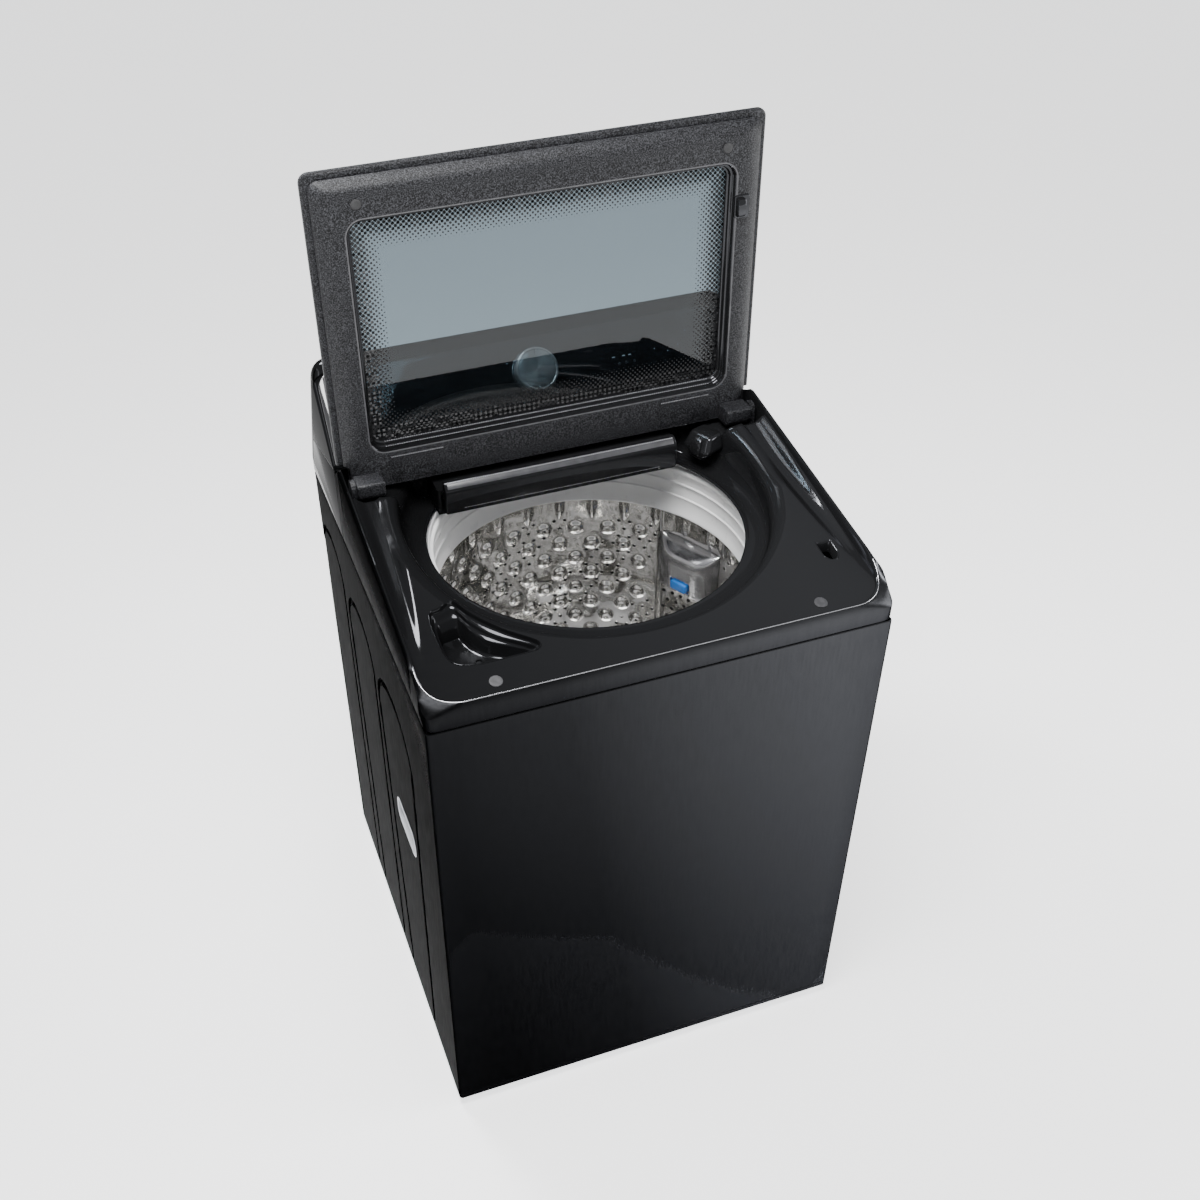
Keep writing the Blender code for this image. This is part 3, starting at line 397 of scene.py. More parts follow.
def arc(cx, cy, r, start, end, steps):
    points = []
    for i in range(steps + 1):
        a = math.radians(start + (end - start) * i / steps)
        points.append((cx + r * math.cos(a), cy + r * math.sin(a)))
    return points


def rounded_rect(x0, x1, y0, y1, r, steps=6):
    return (arc(x1 - r, y0 + r, r, -90, 0, steps) + arc(x1 - r, y1 - r, r, 0, 90, steps)
            + arc(x0 + r, y1 - r, r, 90, 180, steps) + arc(x0 + r, y0 + r, r, 180, 270, steps))


def move(verts, matrix):
    return [matrix @ Vector(v) for v in verts]


def extrude(outline, low, high, axis="Z", edge=0.0012):
    """Prism with rounded end edges. X takes (y, z), Y takes (x, z), Z takes (x, y)."""
    points = [Vector(p) for p in outline]
    area = sum(p.x * q.y - q.x * p.y for p, q in zip(points, points[1:] + points[:1]))
    sign = 1 if area > 0 else -1

    def shrunk(by):
        ring = []
        for i, p in enumerate(points):
            before, after = (p - points[i - 1]).normalized(), (points[(i + 1) % len(points)] - p).normalized()
            inward = Vector((-(before.y + after.y), before.x + after.x)) * sign
            if inward.length < 1e-6:
                inward = Vector((-before.y, before.x)) * sign
            inward.normalize()
            lean = max(0.35, abs(inward.dot(Vector((-before.y, before.x)) * sign)))
            ring.append(p + inward * (by / lean))
        return ring

    def place(p, h):
        if axis == "X":
            return (h, p[0], p[1])
        if axis == "Y":
            return (p[0], h, p[1])
        return (p[0], p[1], h)
    levels = [(edge, 0.0), (edge * 0.3, edge * 0.3), (0.0, edge)]
    rings = [[place(p, low + h) for p in shrunk(inset)] for inset, h in levels]
    rings += [[place(p, high - h) for p in shrunk(inset)] for inset, h in levels[::-1]]
    return loft(rings)


def block(x0, x1, y0, y1, z0, z1, r=0.002, edge=0.0010):
    return extrude(rounded_rect(x0, x1, y0, y1, r, 4), z0, z1, "Z", edge)


def join(*solids):
    verts, faces = [], []
    for v, f in solids:
        base = len(verts)
        verts += list(v)
        faces += [tuple(i + base for i in face) for face in f]
    return verts, faces


def placed(matrix, *solids):
    """Solids joined into one and put in place by a matrix."""
    verts, faces = join(*solids)
    return move(verts, matrix), faces


def spaced(first, last, count):
    return [first + (last - first) * k / (count - 1) for k in range(count)]


def cut(target, solid, name):
    """Boolean difference by a helper solid that is never shown."""
    mesh = bpy.data.meshes.new("cut_" + name)
    mesh.from_pydata([tuple(v) for v in solid[0]], [], [tuple(f) for f in solid[1]])
    bm = bmesh.new()
    bm.from_mesh(mesh)
    bmesh.ops.recalc_face_normals(bm, faces=bm.faces)
    bm.to_mesh(mesh)
    bm.free()
    helper = bpy.data.objects.new("cut_" + name, mesh)
    bpy.context.scene.collection.objects.link(helper)
    mod = target.modifiers.new(name, "BOOLEAN")
    mod.object = helper
    bpy.context.view_layer.update()
    done = bpy.data.meshes.new_from_object(target.evaluated_get(bpy.context.evaluated_depsgraph_get()))
    target.modifiers.remove(mod)
    old = target.data
    target.data = done
    bpy.data.meshes.remove(old)
    bpy.data.objects.remove(helper, do_unlink=True)
    return target


def smoothstep(value, low, high):
    t = min(1.0, max(0.0, (value - low) / (high - low)))
    return t * t * (3 - 2 * t)


def dress(look, *nodes):
    """Give CAD nodes that keep their shape a finished material."""
    for node in nodes:
        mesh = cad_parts[node].data
        mesh.materials.clear()
        mesh.materials.append(look)
        for face in mesh.polygons:
            face.material_index = 0


# ------------------------------------------------------------ camera, light and floor
def camera():
    yaw, pitch, roll = 0.2924, 0.661, -0.0437
    forward = Vector((math.sin(yaw) * math.cos(pitch), math.cos(yaw) * math.cos(pitch), -math.sin(pitch)))
    right = forward.cross(Vector((0, 0, 1))).normalized()
    up = right.cross(forward)
    right, up = right * math.cos(roll) + up * math.sin(roll), up * math.cos(roll) - right * math.sin(roll)
    data = bpy.data.cameras.new("view")
    data.lens, data.sensor_width = 39.374, 36.0
    data.shift_x, data.shift_y = 0.0823, 0.01135
    data.clip_end = 50
    cam = bpy.data.objects.new("view", data)
    rows = Matrix((right, up, -forward)).transposed().to_4x4()
    cam.matrix_world = Matrix.Translation((-0.6016, -1.5701, 2.017)) @ rows
    bpy.context.scene.collection.objects.link(cam)
    bpy.context.scene.camera = cam


def area_light(name, place, target, size, power, colour=(1, 1, 1)):
    data = bpy.data.lights.new(name, "AREA")
    data.shape, data.size, data.size_y = "RECTANGLE", size[0], size[1]
    data.energy, data.color = power, colour
    light = bpy.data.objects.new(name, data)
    light.location = place
    light.rotation_euler = (Vector(target) - Vector(place)).to_track_quat("-Z", "Y").to_euler()
    bpy.context.scene.collection.objects.link(light)


def studio():
    world = bpy.data.worlds.new("studio")
    bpy.context.scene.world = world
    world.use_nodes = True
    back = world.node_tree.nodes["Background"]
    back.inputs["Color"].default_value = (0.95, 0.97, 1.0, 1.0)
    back.inputs["Strength"].default_value = 0.38
    area_light("opening_softbox", (-0.40, -0.60, 2.7), (-0.02, -0.05, 0.6), (0.9, 0.9), 74)
    area_light("right_softbox", (2.7, -1.0, 1.5), (0.2, -0.2, 0.8), (1.2, 1.6), 60)
    area_light("left_strip", (-3.0, -0.2, 1.9), (-0.3, 0.0, 0.9), (0.4, 2.0), 9)
    area_light("console_light", (-0.62, 0.50, 2.2), (0.0, 0.2, 1.05), (0.4, 0.4), 34)
    area_light("front_fill", (-1.2, -3.2, 1.0), (0.0, 0.0, 0.8), (2.4, 0.8), 10)
    floor_look = Look("floor_finish", (0.93, 0.93, 0.94), 0.6, Emission_Color=(1.0, 1.0, 1.0, 1.0),
                      Emission_Strength=1.5)
    floor_look.mottle(3, 0.01)
    size, level = 14.0, -0.0006
    corners = [(sx * size, sy * size, level) for sx, sy in ((-1, -1), (1, -1), (1, 1), (-1, 1))]
    mesh = bpy.data.meshes.new("floor")
    mesh.from_pydata(corners, [], [(0, 1, 2, 3)])
    mesh.materials.append(floor_look.mat)
    floor = bpy.data.objects.new("floor", mesh)
    bpy.context.scene.collection.objects.link(floor)


# ------------------------------------------------------------ cabinet
def shell_path():
    """Plan of the folded wrap's outer face with outward normals, from right rear to left rear."""
    rear, radius = HALF_D - 0.0015, 0.006
    side = [(HALF_W, y) for y in np.linspace(rear - 0.002, -HALF_D + radius, 228)]
    right = [((x, y), (1, 0)) for x, y in side]
    bend = [((HALF_W - radius + radius * math.cos(a), -HALF_D + radius + radius * math.sin(a)),
             (math.cos(a), math.sin(a))) for a in np.linspace(0, -math.pi / 2, 10)[1:-1]]
    front = [((x, -HALF_D), (0, -1)) for x in np.linspace(HALF_W - radius, 0, 12)]
    half = [((HALF_W - 0.022, rear), (0, 1)), ((HALF_W - 0.003, rear), (0, 1))] + right + bend + front
    mirrored = [((-x, y), (-nx, ny)) for (x, y), (nx, ny) in half[::-1][1:]]
    return half + mirrored


ARCHES = [(0.266, 0.772, 0.076, 0.068), (0.077, 0.747, 0.084, 0.072), (-0.129, 0.736, 0.098, 0.071)]


def groove_depth(y, z):
    """How deep the sheet is pressed in at a point of the cabinet's side."""
    best = 1.0
    for centre, top, wide, narrow in ARCHES:
        low, spring = 0.045, top - wide * 0.80
        share = min(1.0, max(0.0, (z - low) / (spring - low)))
        half = narrow + (wide - narrow) * share
        if z > spring:
            gap = abs(math.hypot((y - centre), (z - spring) * wide / (top - spring)) - wide)
        else:
            gap = abs(abs(y - centre) - half)
            if z < low:
                gap = math.hypot(gap, low - z)
        best = min(best, gap)
    return 0.0022 * (1 - smoothstep(best, 0.0015, 0.0065))


def cabinet_skin():
    """Folded sheet with pressed arches, rolled edges and a hem above the kick."""
    path = shell_path()
    low, high = FLOOR_GAP, SEAM_Z - 0.0007
    hem, sheet = 0.0105, 0.0011
    levels = [low, low + 0.0008] + [low + hem + step for step in (-0.0016, -0.0006, 0.0006, 0.0016)]
    levels += list(np.linspace(low + 0.016, 0.60, 34)) + list(np.linspace(0.603, 0.785, 62))
    levels += [0.80, 0.83, high - 0.0030, high - 0.0016, high - 0.0006, high]
    inset = {low: 0.0008, low + hem - 0.0006: 0.0010, low + hem + 0.0006: 0.0010, high: 0.0011,
             high - 0.0006: 0.0005, high - 0.0016: 0.0001}
    outer, inner = [], []
    for z in levels:
        for (x, y), (nx, ny) in path:
            push = inset.get(z, 0.0)
            if abs(nx) == 1:
                push += groove_depth(y, z)
            outer.append((x - nx * push, y - ny * push, z))
            inner.append((x - nx * (push + sheet), y - ny * (push + sheet), z))
    count, cols = len(levels), len(path)
    verts = outer + inner[::-1]
    last, base = cols - 1, count * cols
    faces = []
    for i in range(count - 1):
        for j in range(last):
            a, b = i * cols + j, (i + 1) * cols + j
            faces.append((a, a + 1, b + 1, b))
            p, q = base + count * cols - 1 - a, base + count * cols - 1 - b
            faces.append((p, q, q - 1, p - 1))
        for j in (0, last):
            a, b = i * cols + j, (i + 1) * cols + j
            p, q = base + count * cols - 1 - a, base + count * cols - 1 - b
            faces.append((a, b, q, p) if j else (a, p, q, b))
    for i in (0, count - 1):
        for j in range(last):
            a = i * cols + j
            p = base + count * cols - 1 - a
            faces.append((a, p, p - 1, a + 1) if i == 0 else (a, a + 1, p - 1, p))
    skin = piece("cabinet_skin", verts, faces, SHADED_BLACK_STEEL, "cabinet", "black_steel", ["cabinet_shell"])
    for side in (-1, 1):
        hole = extrude(rounded_rect(-0.1925, -0.0875, 0.4515, 0.4965, 0.018, 6),
                       *sorted((side * 0.33, side * 0.35)), axis="X", edge=0.0)
        cut(skin, hole, "handhold")
    shelves = []
    for sx in (-1, 1):
        for sy in (-1, 1):
            y = TUB.y + sy * 0.235
            x0, x1 = sorted((sx * 0.232, sx * 0.3405))
            shelves.append(block(x0, x1, y - 0.034, y + 0.034, 0.7900, 0.7945))
    piece("rod_shelves", *join(*shelves), ZINC, "cabinet", "galvanised")


def handhold_cups():
    for side, name in ((-1, "handhold_cup_left"), (1, "handhold_cup_right")):
        def ring(grow, x, r):
            return [(side * x, y, z) for y, z in
                    rounded_rect(-0.1925 - grow, -0.0875 + grow, 0.4515 - grow, 0.4965 + grow, r, 6)]
        rings = [ring(0.0005, 0.3080, 0.016), ring(0.0008, 0.3412, 0.018), ring(0.0035, 0.3412, 0.021),
                 ring(0.0035, 0.3434, 0.021), ring(0.0025, 0.3439, 0.020), ring(0.0002, 0.3438, 0.018),
                 ring(-0.0012, 0.3428, 0.017), ring(-0.0032, 0.3150, 0.015), ring(-0.0060, 0.3105, 0.013),
                 ring(-0.0100, 0.3095, 0.010)]
        verts, faces = loft(rings)
        piece("grip_" + name, verts, faces, GREY, "cabinet", "grey_plastic", [name])


def rear_wall():
    """Galvanised back with three pressed ribs, a frame of screws and holes for the hoses."""
    inner, face = HALF_D - 0.0014, HALF_D - 0.0007
    plate = extrude([(-0.3417, 0.0206), (0.3417, 0.0206), (0.3417, 0.8544), (-0.3417, 0.8544)],
                    inner - 0.0002, face, "Y", 0.0003)
    wall = piece("rear_wall", *plate, ZINC, "cabinet", "galvanised", ["rear_panel"])
    cut(wall, extrude(arc(-0.240, 0.120, 0.0215, 0, 350, 35), 0.33, 0.36, "Y", 0.0), "drain")
    cut(wall, extrude(rounded_rect(0.2085, 0.3015, 0.8035, 0.8365, 0.006), 0.33, 0.36, "Y", 0.0), "inlets")
    ribs = []
    for z in (0.235, 0.400, 0.565):
        ribs.append(extrude(rounded_rect(-0.255, 0.255, z - 0.032, z + 0.032, 0.030, 10),
                            inner, HALF_D + 0.0012, "Y", 0.0018))
    piece("rear_ribs", *join(*ribs), ZINC, "cabinet", "galvanised", smooth=60)
    screws = [(x, z) for x in (-0.330, 0.330) for z in (0.050, 0.250, 0.450, 0.650, 0.835)]
    screws += [(x, z) for x in (-0.165, 0.0, 0.165) for z in (0.032, 0.846)]
    head = turned([(0.0, 0.0), (0.0052, 0.0), (0.0052, 0.0012), (0.0040, 0.0022), (0.0018, 0.0026),
                   (0.0016, 0.0012), (0.0, 0.0012)], 20)
    solids = [placed(Matrix.Translation((x, face, z)) @ Matrix.Rotation(-math.pi / 2, 4, "X"), head)
              for x, z in screws]
    piece("rear_screws", *join(*solids), CHROME, "cabinet", "galvanised")


def feet():
    profile = [(0, 0.0), (0.0195, 0.0), (0.0208, 0.0006), (0.0215, 0.0022), (0.0215, 0.0040),
               (0.0203, 0.0092), (0.0190, 0.0102), (0.0116, 0.0112), (0.0108, 0.0120), (0.0108, 0.0180),
               (0.0100, 0.0187), (0.0050, 0.0187)]
    turns = 22
    for i in range(turns):
        z = 0.0190 + i * 0.0015
        profile += [(0.0050, z), (0.0044, z + 0.0007)]
    profile += [(0.0040, 0.0520), (0, 0.0520)]
    for sy, row in ((-1, "front"), (1, "rear")):
        for sx, column in ((-1, "left"), (1, "right")):
            place = Vector((sx * 0.295, sy * 0.295))
            verts, faces = lathe(profile, 40, place)
            tag = row + "_" + column
            piece("screw_foot_" + tag, verts, faces, RUBBER, "foot_" + tag, "black_rubber",
                  ["levelling_foot_" + tag])


# ------------------------------------------------------------ top cover
def deck_plane(y):
    return DECK_Z + math.tan(DECK_TILT) * (y - DECK_Y)


def rim_top(y):
    """Crest of the side rims."""
    if y > 0.105:
        return float(np.interp(y, (0.105, 0.118, 0.134), (0.9941, 0.9862, 0.9790)))
    return 0.917 + 0.1835 * (y + 0.315)


def crest_height(y):
    """Top of the rim on the outer band, which drops towards the front edge."""
    front = deck_plane(-0.3405) + 0.0026
    return front + (rim_top(y) - front) * smoothstep(y, -0.346, -0.262)


def deck_surface(x, y):
    """Height of the deck: a tilted plate, a long valley along each side, and the hinge trough."""
    z = deck_plane(y)
    back = min(1.0, max(0.0, (0.05 - y) / 0.34))
    edge = 0.281 + 0.040 * back ** 1.5
    across = (abs(x) - edge) / (0.3345 - edge)
    depth = 0.0115 * smoothstep(y, -0.290, -0.02)
    z -= depth * smoothstep(across, 0.0, 0.42) * (1 - smoothstep(across, 0.62, 1.0))
    return z + (TROUGH_Z - z) * smoothstep(y, 0.047, 0.066)


def outline_point(angle, half, front, radius):
    """Where a ray from the opening's centre meets the cover's plan, a rectangle with round front corners."""
    dx, dy = math.cos(angle), math.sin(angle)
    reach = half / abs(dx) if abs(dx) > 1e-9 else 1e9
    if dy < 0:
        reach = min(reach, (front - OPENING.y) / dy)
    x, y = dx * reach, OPENING.y + dy * reach
    if abs(x) > half - radius and y < front + radius:
        cx, cy = math.copysign(half - radius, dx), front + radius - OPENING.y
        along = dx * cx + dy * cy
        reach = along + math.sqrt(max(0.0, along * along - cx * cx - cy * cy + radius * radius))
        x, y = dx * reach, OPENING.y + dy * reach
    return x, y


def swept_angle(start, share):
    return start + (-math.pi - 2 * start) * share


def on_circle(radius, share):
    start = math.asin((REAR_Y - OPENING.y) / radius)
    angle = swept_angle(start, share)
    return radius * math.cos(angle), OPENING.y + radius * math.sin(angle)


def on_outline(half, front, radius, share):
    start = math.atan2(REAR_Y - OPENING.y, half)
    return outline_point(swept_angle(start, share), half, front, radius)


def bezier(points, steps):
    made = []
    for i in range(steps + 1):
        t = i / steps
        row = [Vector(p) for p in points]
        while len(row) > 1:
            row = [a.lerp(b, t) for a, b in zip(row, row[1:])]
        made.append(row[0])
    return made


# the bowl's upper edge: its radius for a deck height
BOWL_Z = (0.891, 0.896, 0.903, 0.915, 0.960, 1.020)
BOWL_REACH = (0.2480, 0.2620, 0.2700, 0.2740, 0.2770, 0.2800)
SECTIONS = 420                             # steps of the moulding round the opening
CREST_ROW, OUTER_ROWS = 75, 8              # rows of a section that make the satin outer band


def deck_section(share):
    """One section of the moulding: lip, bowl, deck, rim, apron, and back underneath."""
    start = math.asin((REAR_Y - OPENING.y) / 0.28)
    angle = swept_angle(start, share)
    reach, top = 0.284, 0.0
    for _ in range(6):
        top = deck_surface(reach * math.cos(angle), OPENING.y + reach * math.sin(angle))
        reach = float(np.interp(top, BOWL_Z, BOWL_REACH))
    fillet = min(0.024, 0.55 * (top - LIP_Z) + 0.0008)
    wall_top = Vector((reach, top - fillet))
    lip = Vector((0.2470, 0.8914))
    span = wall_top - lip
    bowl = bezier([lip, lip + Vector((span.x * 0.60, 0.0004)), lip + Vector((span.x * 0.97, span.y * 0.20)),
                   wall_top], 18)
    edge = reach + fillet * 1.15
    points = []
    for r, z in ((0.2422, 0.8882), (0.2409, 0.8890), (0.2403, 0.8903), (0.2408, 0.8916), (0.2422, 0.8924),
                 (0.2440, 0.8922), (0.2456, 0.8916)):
        points.append((*on_circle(r, share), z))
    points += [(*on_circle(p.x, share), p.y) for p in bowl]
    ex, ey = on_circle(edge, share)
    over = bezier([wall_top, Vector((reach + fillet * 0.12, top - fillet * 0.10)),
                   Vector((edge, deck_surface(ex, ey)))], 7)
    points += [(*on_circle(p.x, share), p.y) for p in over[1:]]
    foot = on_outline(0.3342, -0.3406, 0.051, share)
    steps = 38
    for i in range(1, steps + 1):
        t = i / steps
        x, y = ex + (foot[0] - ex) * t, ey + (foot[1] - ey) * t
        points.append((x, y, deck_surface(x, y)))

    def shoulder_height(y):
        return 0.8790 + (rim_top(y) - 0.0060 - 0.8790) * smoothstep(y, -0.350, -0.300)
    for half, front, radius, drop in ((0.3348, -0.3414, 0.052, 0.60), (0.3354, -0.3422, 0.053, 0.20),
                                      (0.3364, -0.3432, 0.054, 0.02), (0.3376, -0.3444, 0.055, 0.0),
                                      (0.3388, -0.3456, 0.055, 0.06)):
        x, y = on_outline(half, front, radius, share)
        crest, low = crest_height(y), deck_surface(*foot)
        points.append((x, y, crest - drop * max(0.0024, crest - low)))
    for half, front, radius, ratio in ((0.3396, -0.3464, 0.050, 0.10), (0.3408, -0.3474, 0.041, 0.28),
                                       (0.3419, -0.3484, 0.031, 0.52), (0.3427, -0.3491, 0.022, 0.78),
                                       (0.3430, -0.3495, 0.014, 1.0)):
        x, y = on_outline(half, front, radius, share)
        crest = crest_height(y) - 0.0008
        points.append((x, y, crest + (shoulder_height(y) - crest) * ratio))
    for half, front, radius, z in ((0.3430, -0.3495, 0.014, 0.8580), (0.3427, -0.3492, 0.014, 0.8566),
                                   (0.3418, -0.3483, 0.013, 0.8560), (0.3402, -0.3467, 0.012, 0.8560),
                                   (0.3400, -0.3465, 0.012, 0.8700)):
        points.append((*on_outline(half, front, radius, share), z))
    for t in (1.0, 0.8, 0.6, 0.4, 0.2, 0.0):
        x, y = ex + (foot[0] - ex) * t, ey + (foot[1] - ey) * t
        points.append((x, y, deck_surface(x, y) - 0.0032))
    for p in bowl[::-3][1:]:
        points.append((*on_circle(p.x + 0.0028, share), p.y - 0.0022))
    return points


def deck_moulding():
    sections = [deck_section(i / SECTIONS) for i in range(SECTIONS + 1)]
    row = [int(CREST_ROW <= j < CREST_ROW + OUTER_ROWS) for j in range(len(sections[0]))]
    deck = piece("deck_moulding", *loft(sections), [SHADED_GLOSS, SHADED_BLACK_STEEL], "cabinet", "black_gloss",
                 ["top_cover"], smooth=40, face_looks=row * (len(sections) - 1) + [0, 0])
    slot = arc(0.2945, -0.2410, 0.0110, 180, 360, 12) + arc(0.3025, -0.2240, 0.0030, 0, 90, 4)
    slot += arc(0.2865, -0.2240, 0.0030, 90, 180, 4)
    slot = [(x, y if y > -0.2410 else -0.2410 + (y + 0.2410) * 1.35) for x, y in slot]
    cut(deck, extrude(slot, 0.82, 0.99, "Z", 0.0), "latch")
    cut(deck, extrude(bleach_ring(0.004, 0.004), 0.82, 0.99, "Z", 0.0), "bleach")

    # Painted highlight: a thin bright tube along the front crest, where the rounded edge itself would only
    # catch a highlight.
    highlight_rings = []
    for i in range(SECTIONS + 1):
        x, y = on_outline(0.3382, -0.3450, 0.055, i / SECTIONS)
        if y > -0.285:
            continue
        height = crest_height(y)
        lean = Vector((x, y)) - OPENING
        lean.normalize()
        highlight_rings.append([(x + lean.x * 0.0009 * math.cos(t), y + lean.y * 0.0009 * math.cos(t),
                      height - 0.0002 + 0.0009 * math.sin(t)) for t in np.linspace(0, 2 * math.pi, 9)[:-1]])
    piece("front_highlight_line", *loft(highlight_rings), HIGHLIGHT_LINE, "cabinet", "black_gloss", smooth=60)

    def rim_ring(grow, lift):
        centre = Vector((0.2945, -0.2385))
        ring = [centre + (Vector(p) - centre) * (1 + grow / 0.013) for p in slot]
        return [(p.x, p.y, deck_surface(p.x, p.y) + lift) for p in ring]
    rings = [rim_ring(0.0022, -0.0004), rim_ring(0.0014, 0.0008), rim_ring(0.0004, 0.0006),
             rim_ring(-0.0006, -0.0010), rim_ring(-0.0012, -0.0180), rim_ring(0.0006, -0.0180),
             rim_ring(0.0012, -0.0010)]
    piece("latch_slot_rim", *loft(rings, around=True), SHADED_GLOSS, "cabinet", "black_gloss", smooth=50)
    lip = []
    for k in range(61):
        a = math.radians(43 + 94 * k / 60)
        lip.append([(r * math.cos(a), OPENING.y + r * math.sin(a), z) for r, z in
                    ((0.2422, 0.8882), (0.2403, 0.8903), (0.2422, 0.8924), (0.2470, 0.8914), (0.2620, 0.8930),
                     (0.2620, 0.8900), (0.2470, 0.8884))])
    piece("rear_lip", *loft(lip), SHADED_GLOSS, "cabinet", "black_gloss", smooth=50)


def seat():
    """Rear of the cover: the slope that the console stands on, open underneath and at the drawer."""
    slope = [(REAR_Y, 0.8562), (REAR_Y, 0.9770), (0.3120, 0.9355), (0.3440, 0.8772), (HALF_D, 0.8772),
             (HALF_D, 0.8562)]
    solid = extrude(slope, -HALF_W, HALF_W, "X", 0.0012)
    body = piece("console_seat", *solid, SHADED_GLOSS, "cabinet", "black_gloss")
    under = [(REAR_Y + 0.003, 0.80), (REAR_Y + 0.003, 0.9735), (0.3100, 0.9320), (0.3415, 0.8742),
             (HALF_D - 0.003, 0.8742), (HALF_D - 0.003, 0.80)]
    cut(body, extrude(under, -HALF_W + 0.003, HALF_W - 0.003, "X", 0.0), "under")
    cut(body, block(-0.1995, 0.1995, 0.10, 0.300, 0.8975, 1.2, 0.001, 0.0), "drawer_way")
    ring = [(x, OPENING.y + y) for x, y in arc(0, 0, 0.2520, 0, 356, 89)]
    cut(body, extrude(ring, 0.80, 0.8975, "Z", 0.0), "opening")
    cut(body, extrude(arc(-0.270, 0.866, 0.0086, 0, 345, 23), 0.33, 0.36, "Y", 0.0), "gland")


def smooth_loop(points, steps=8):
    """Closed Catmull-Rom curve through points."""
    made, count = [], len(points)
    for i in range(count):
        p0, p1, p2, p3 = (Vector(points[(i + k) % count]) for k in (-1, 0, 1, 2))
        for k in range(steps):
            t = k / steps
            made.append(0.5 * ((2 * p1) + (p2 - p0) * t + (2 * p0 - 5 * p1 + 4 * p2 - p3) * t * t
                               + (3 * p1 - p0 - 3 * p2 + p3) * t ** 3))
    return made


def bleach_ring(hug, wall, centre=Vector((-0.2440, -0.2500))):
    """Plan of the bleach pocket shrunk by one share along the opening's side and another at the corner."""
    near = [OPENING + Vector((0.2930 * math.cos(math.radians(a)), 0.2930 * math.sin(math.radians(a))))
            for a in (-150, -144, -138, -132, -125)]
    far = [Vector(p) for p in ((-0.160, -0.2800), (-0.166, -0.2880), (-0.180, -0.2900), (-0.215, -0.2905),
                               (-0.250, -0.2905), (-0.278, -0.2830), (-0.2895, -0.262), (-0.2925, -0.225),
                               (-0.2915, -0.200), (-0.2860, -0.1880), (-0.2740, -0.1850))]
    fade = (0.30, 0.80, 1.0, 0.85, 0.40)
    near = [p + (centre - p) * (wall + (hug - wall) * share) for p, share in zip(near, fade)]
    far = [p + (centre - p) * wall for p in far]
    return smooth_loop(near + far)


def bleach_pocket():
    def ring(hug, wall, depth, floor=None):
        return [(p.x, p.y, floor or deck_plane(p.y) - depth) for p in bleach_ring(hug, wall)]
    rings = [ring(0.10, 0.10, 0, 0.8700), ring(0.02, 0.02, 0, 0.8760), ring(0.012, 0.012, 0.004),
             ring(-0.020, -0.012, 0.0006), ring(-0.012, -0.008, -0.0010), ring(0.002, 0.002, -0.0012),
             ring(0.016, 0.012, 0.0002), ring(0.030, 0.022, 0.0030), ring(0.045, 0.030, 0.0058),
             ring(0.110, 0.045, 0.0068), ring(0.190, 0.055, 0.0072), ring(0.215, 0.062, 0.0080),
             ring(0.240, 0.085, 0.0112), ring(0.265, 0.110, 0.0132), ring(0.330, 0.135, 0.0142),
             ring(0.400, 0.150, 0.0148), ring(0.425, 0.170, 0.0156), ring(0.470, 0.260, 0, 0.8775),
             ring(0.540, 0.360, 0, 0.8745), ring(0.700, 0.560, 0, 0.8735)]
    piece("bleach_pocket", *loft(rings), SHADED_GLOSS, "cabinet", "black_gloss", ["bleach_cup"], smooth=50)
    spout = lathe([(0.0042, 0.8738), (0.0060, 0.8738), (0.0060, 0.8752), (0.0042, 0.8752)], 32,
                  Vector((-0.240, -0.254)))
    piece("bleach_spout", *spout, SHADED_GLOSS, "cabinet", "black_gloss")


def pads():
    for side, name in ((-1, "lid_pad_left"), (1, "lid_pad_right")):
        profile = [(0, -0.0035), (0.0094, -0.0035), (0.0094, 0.0006), (0.0088, 0.0013), (0.0078, 0.0015),
                   (0.0030, 0.0011), (0, 0.0010)]
        place = Matrix.Translation((side * PAD_X, DECK_Y, DECK_Z)) @ Matrix.Rotation(DECK_TILT, 4, "X")
        piece("bumper_pad_" + name, *placed(place, turned(profile, 48)), PAD, "cabinet", "grey_rubber",
              [name])


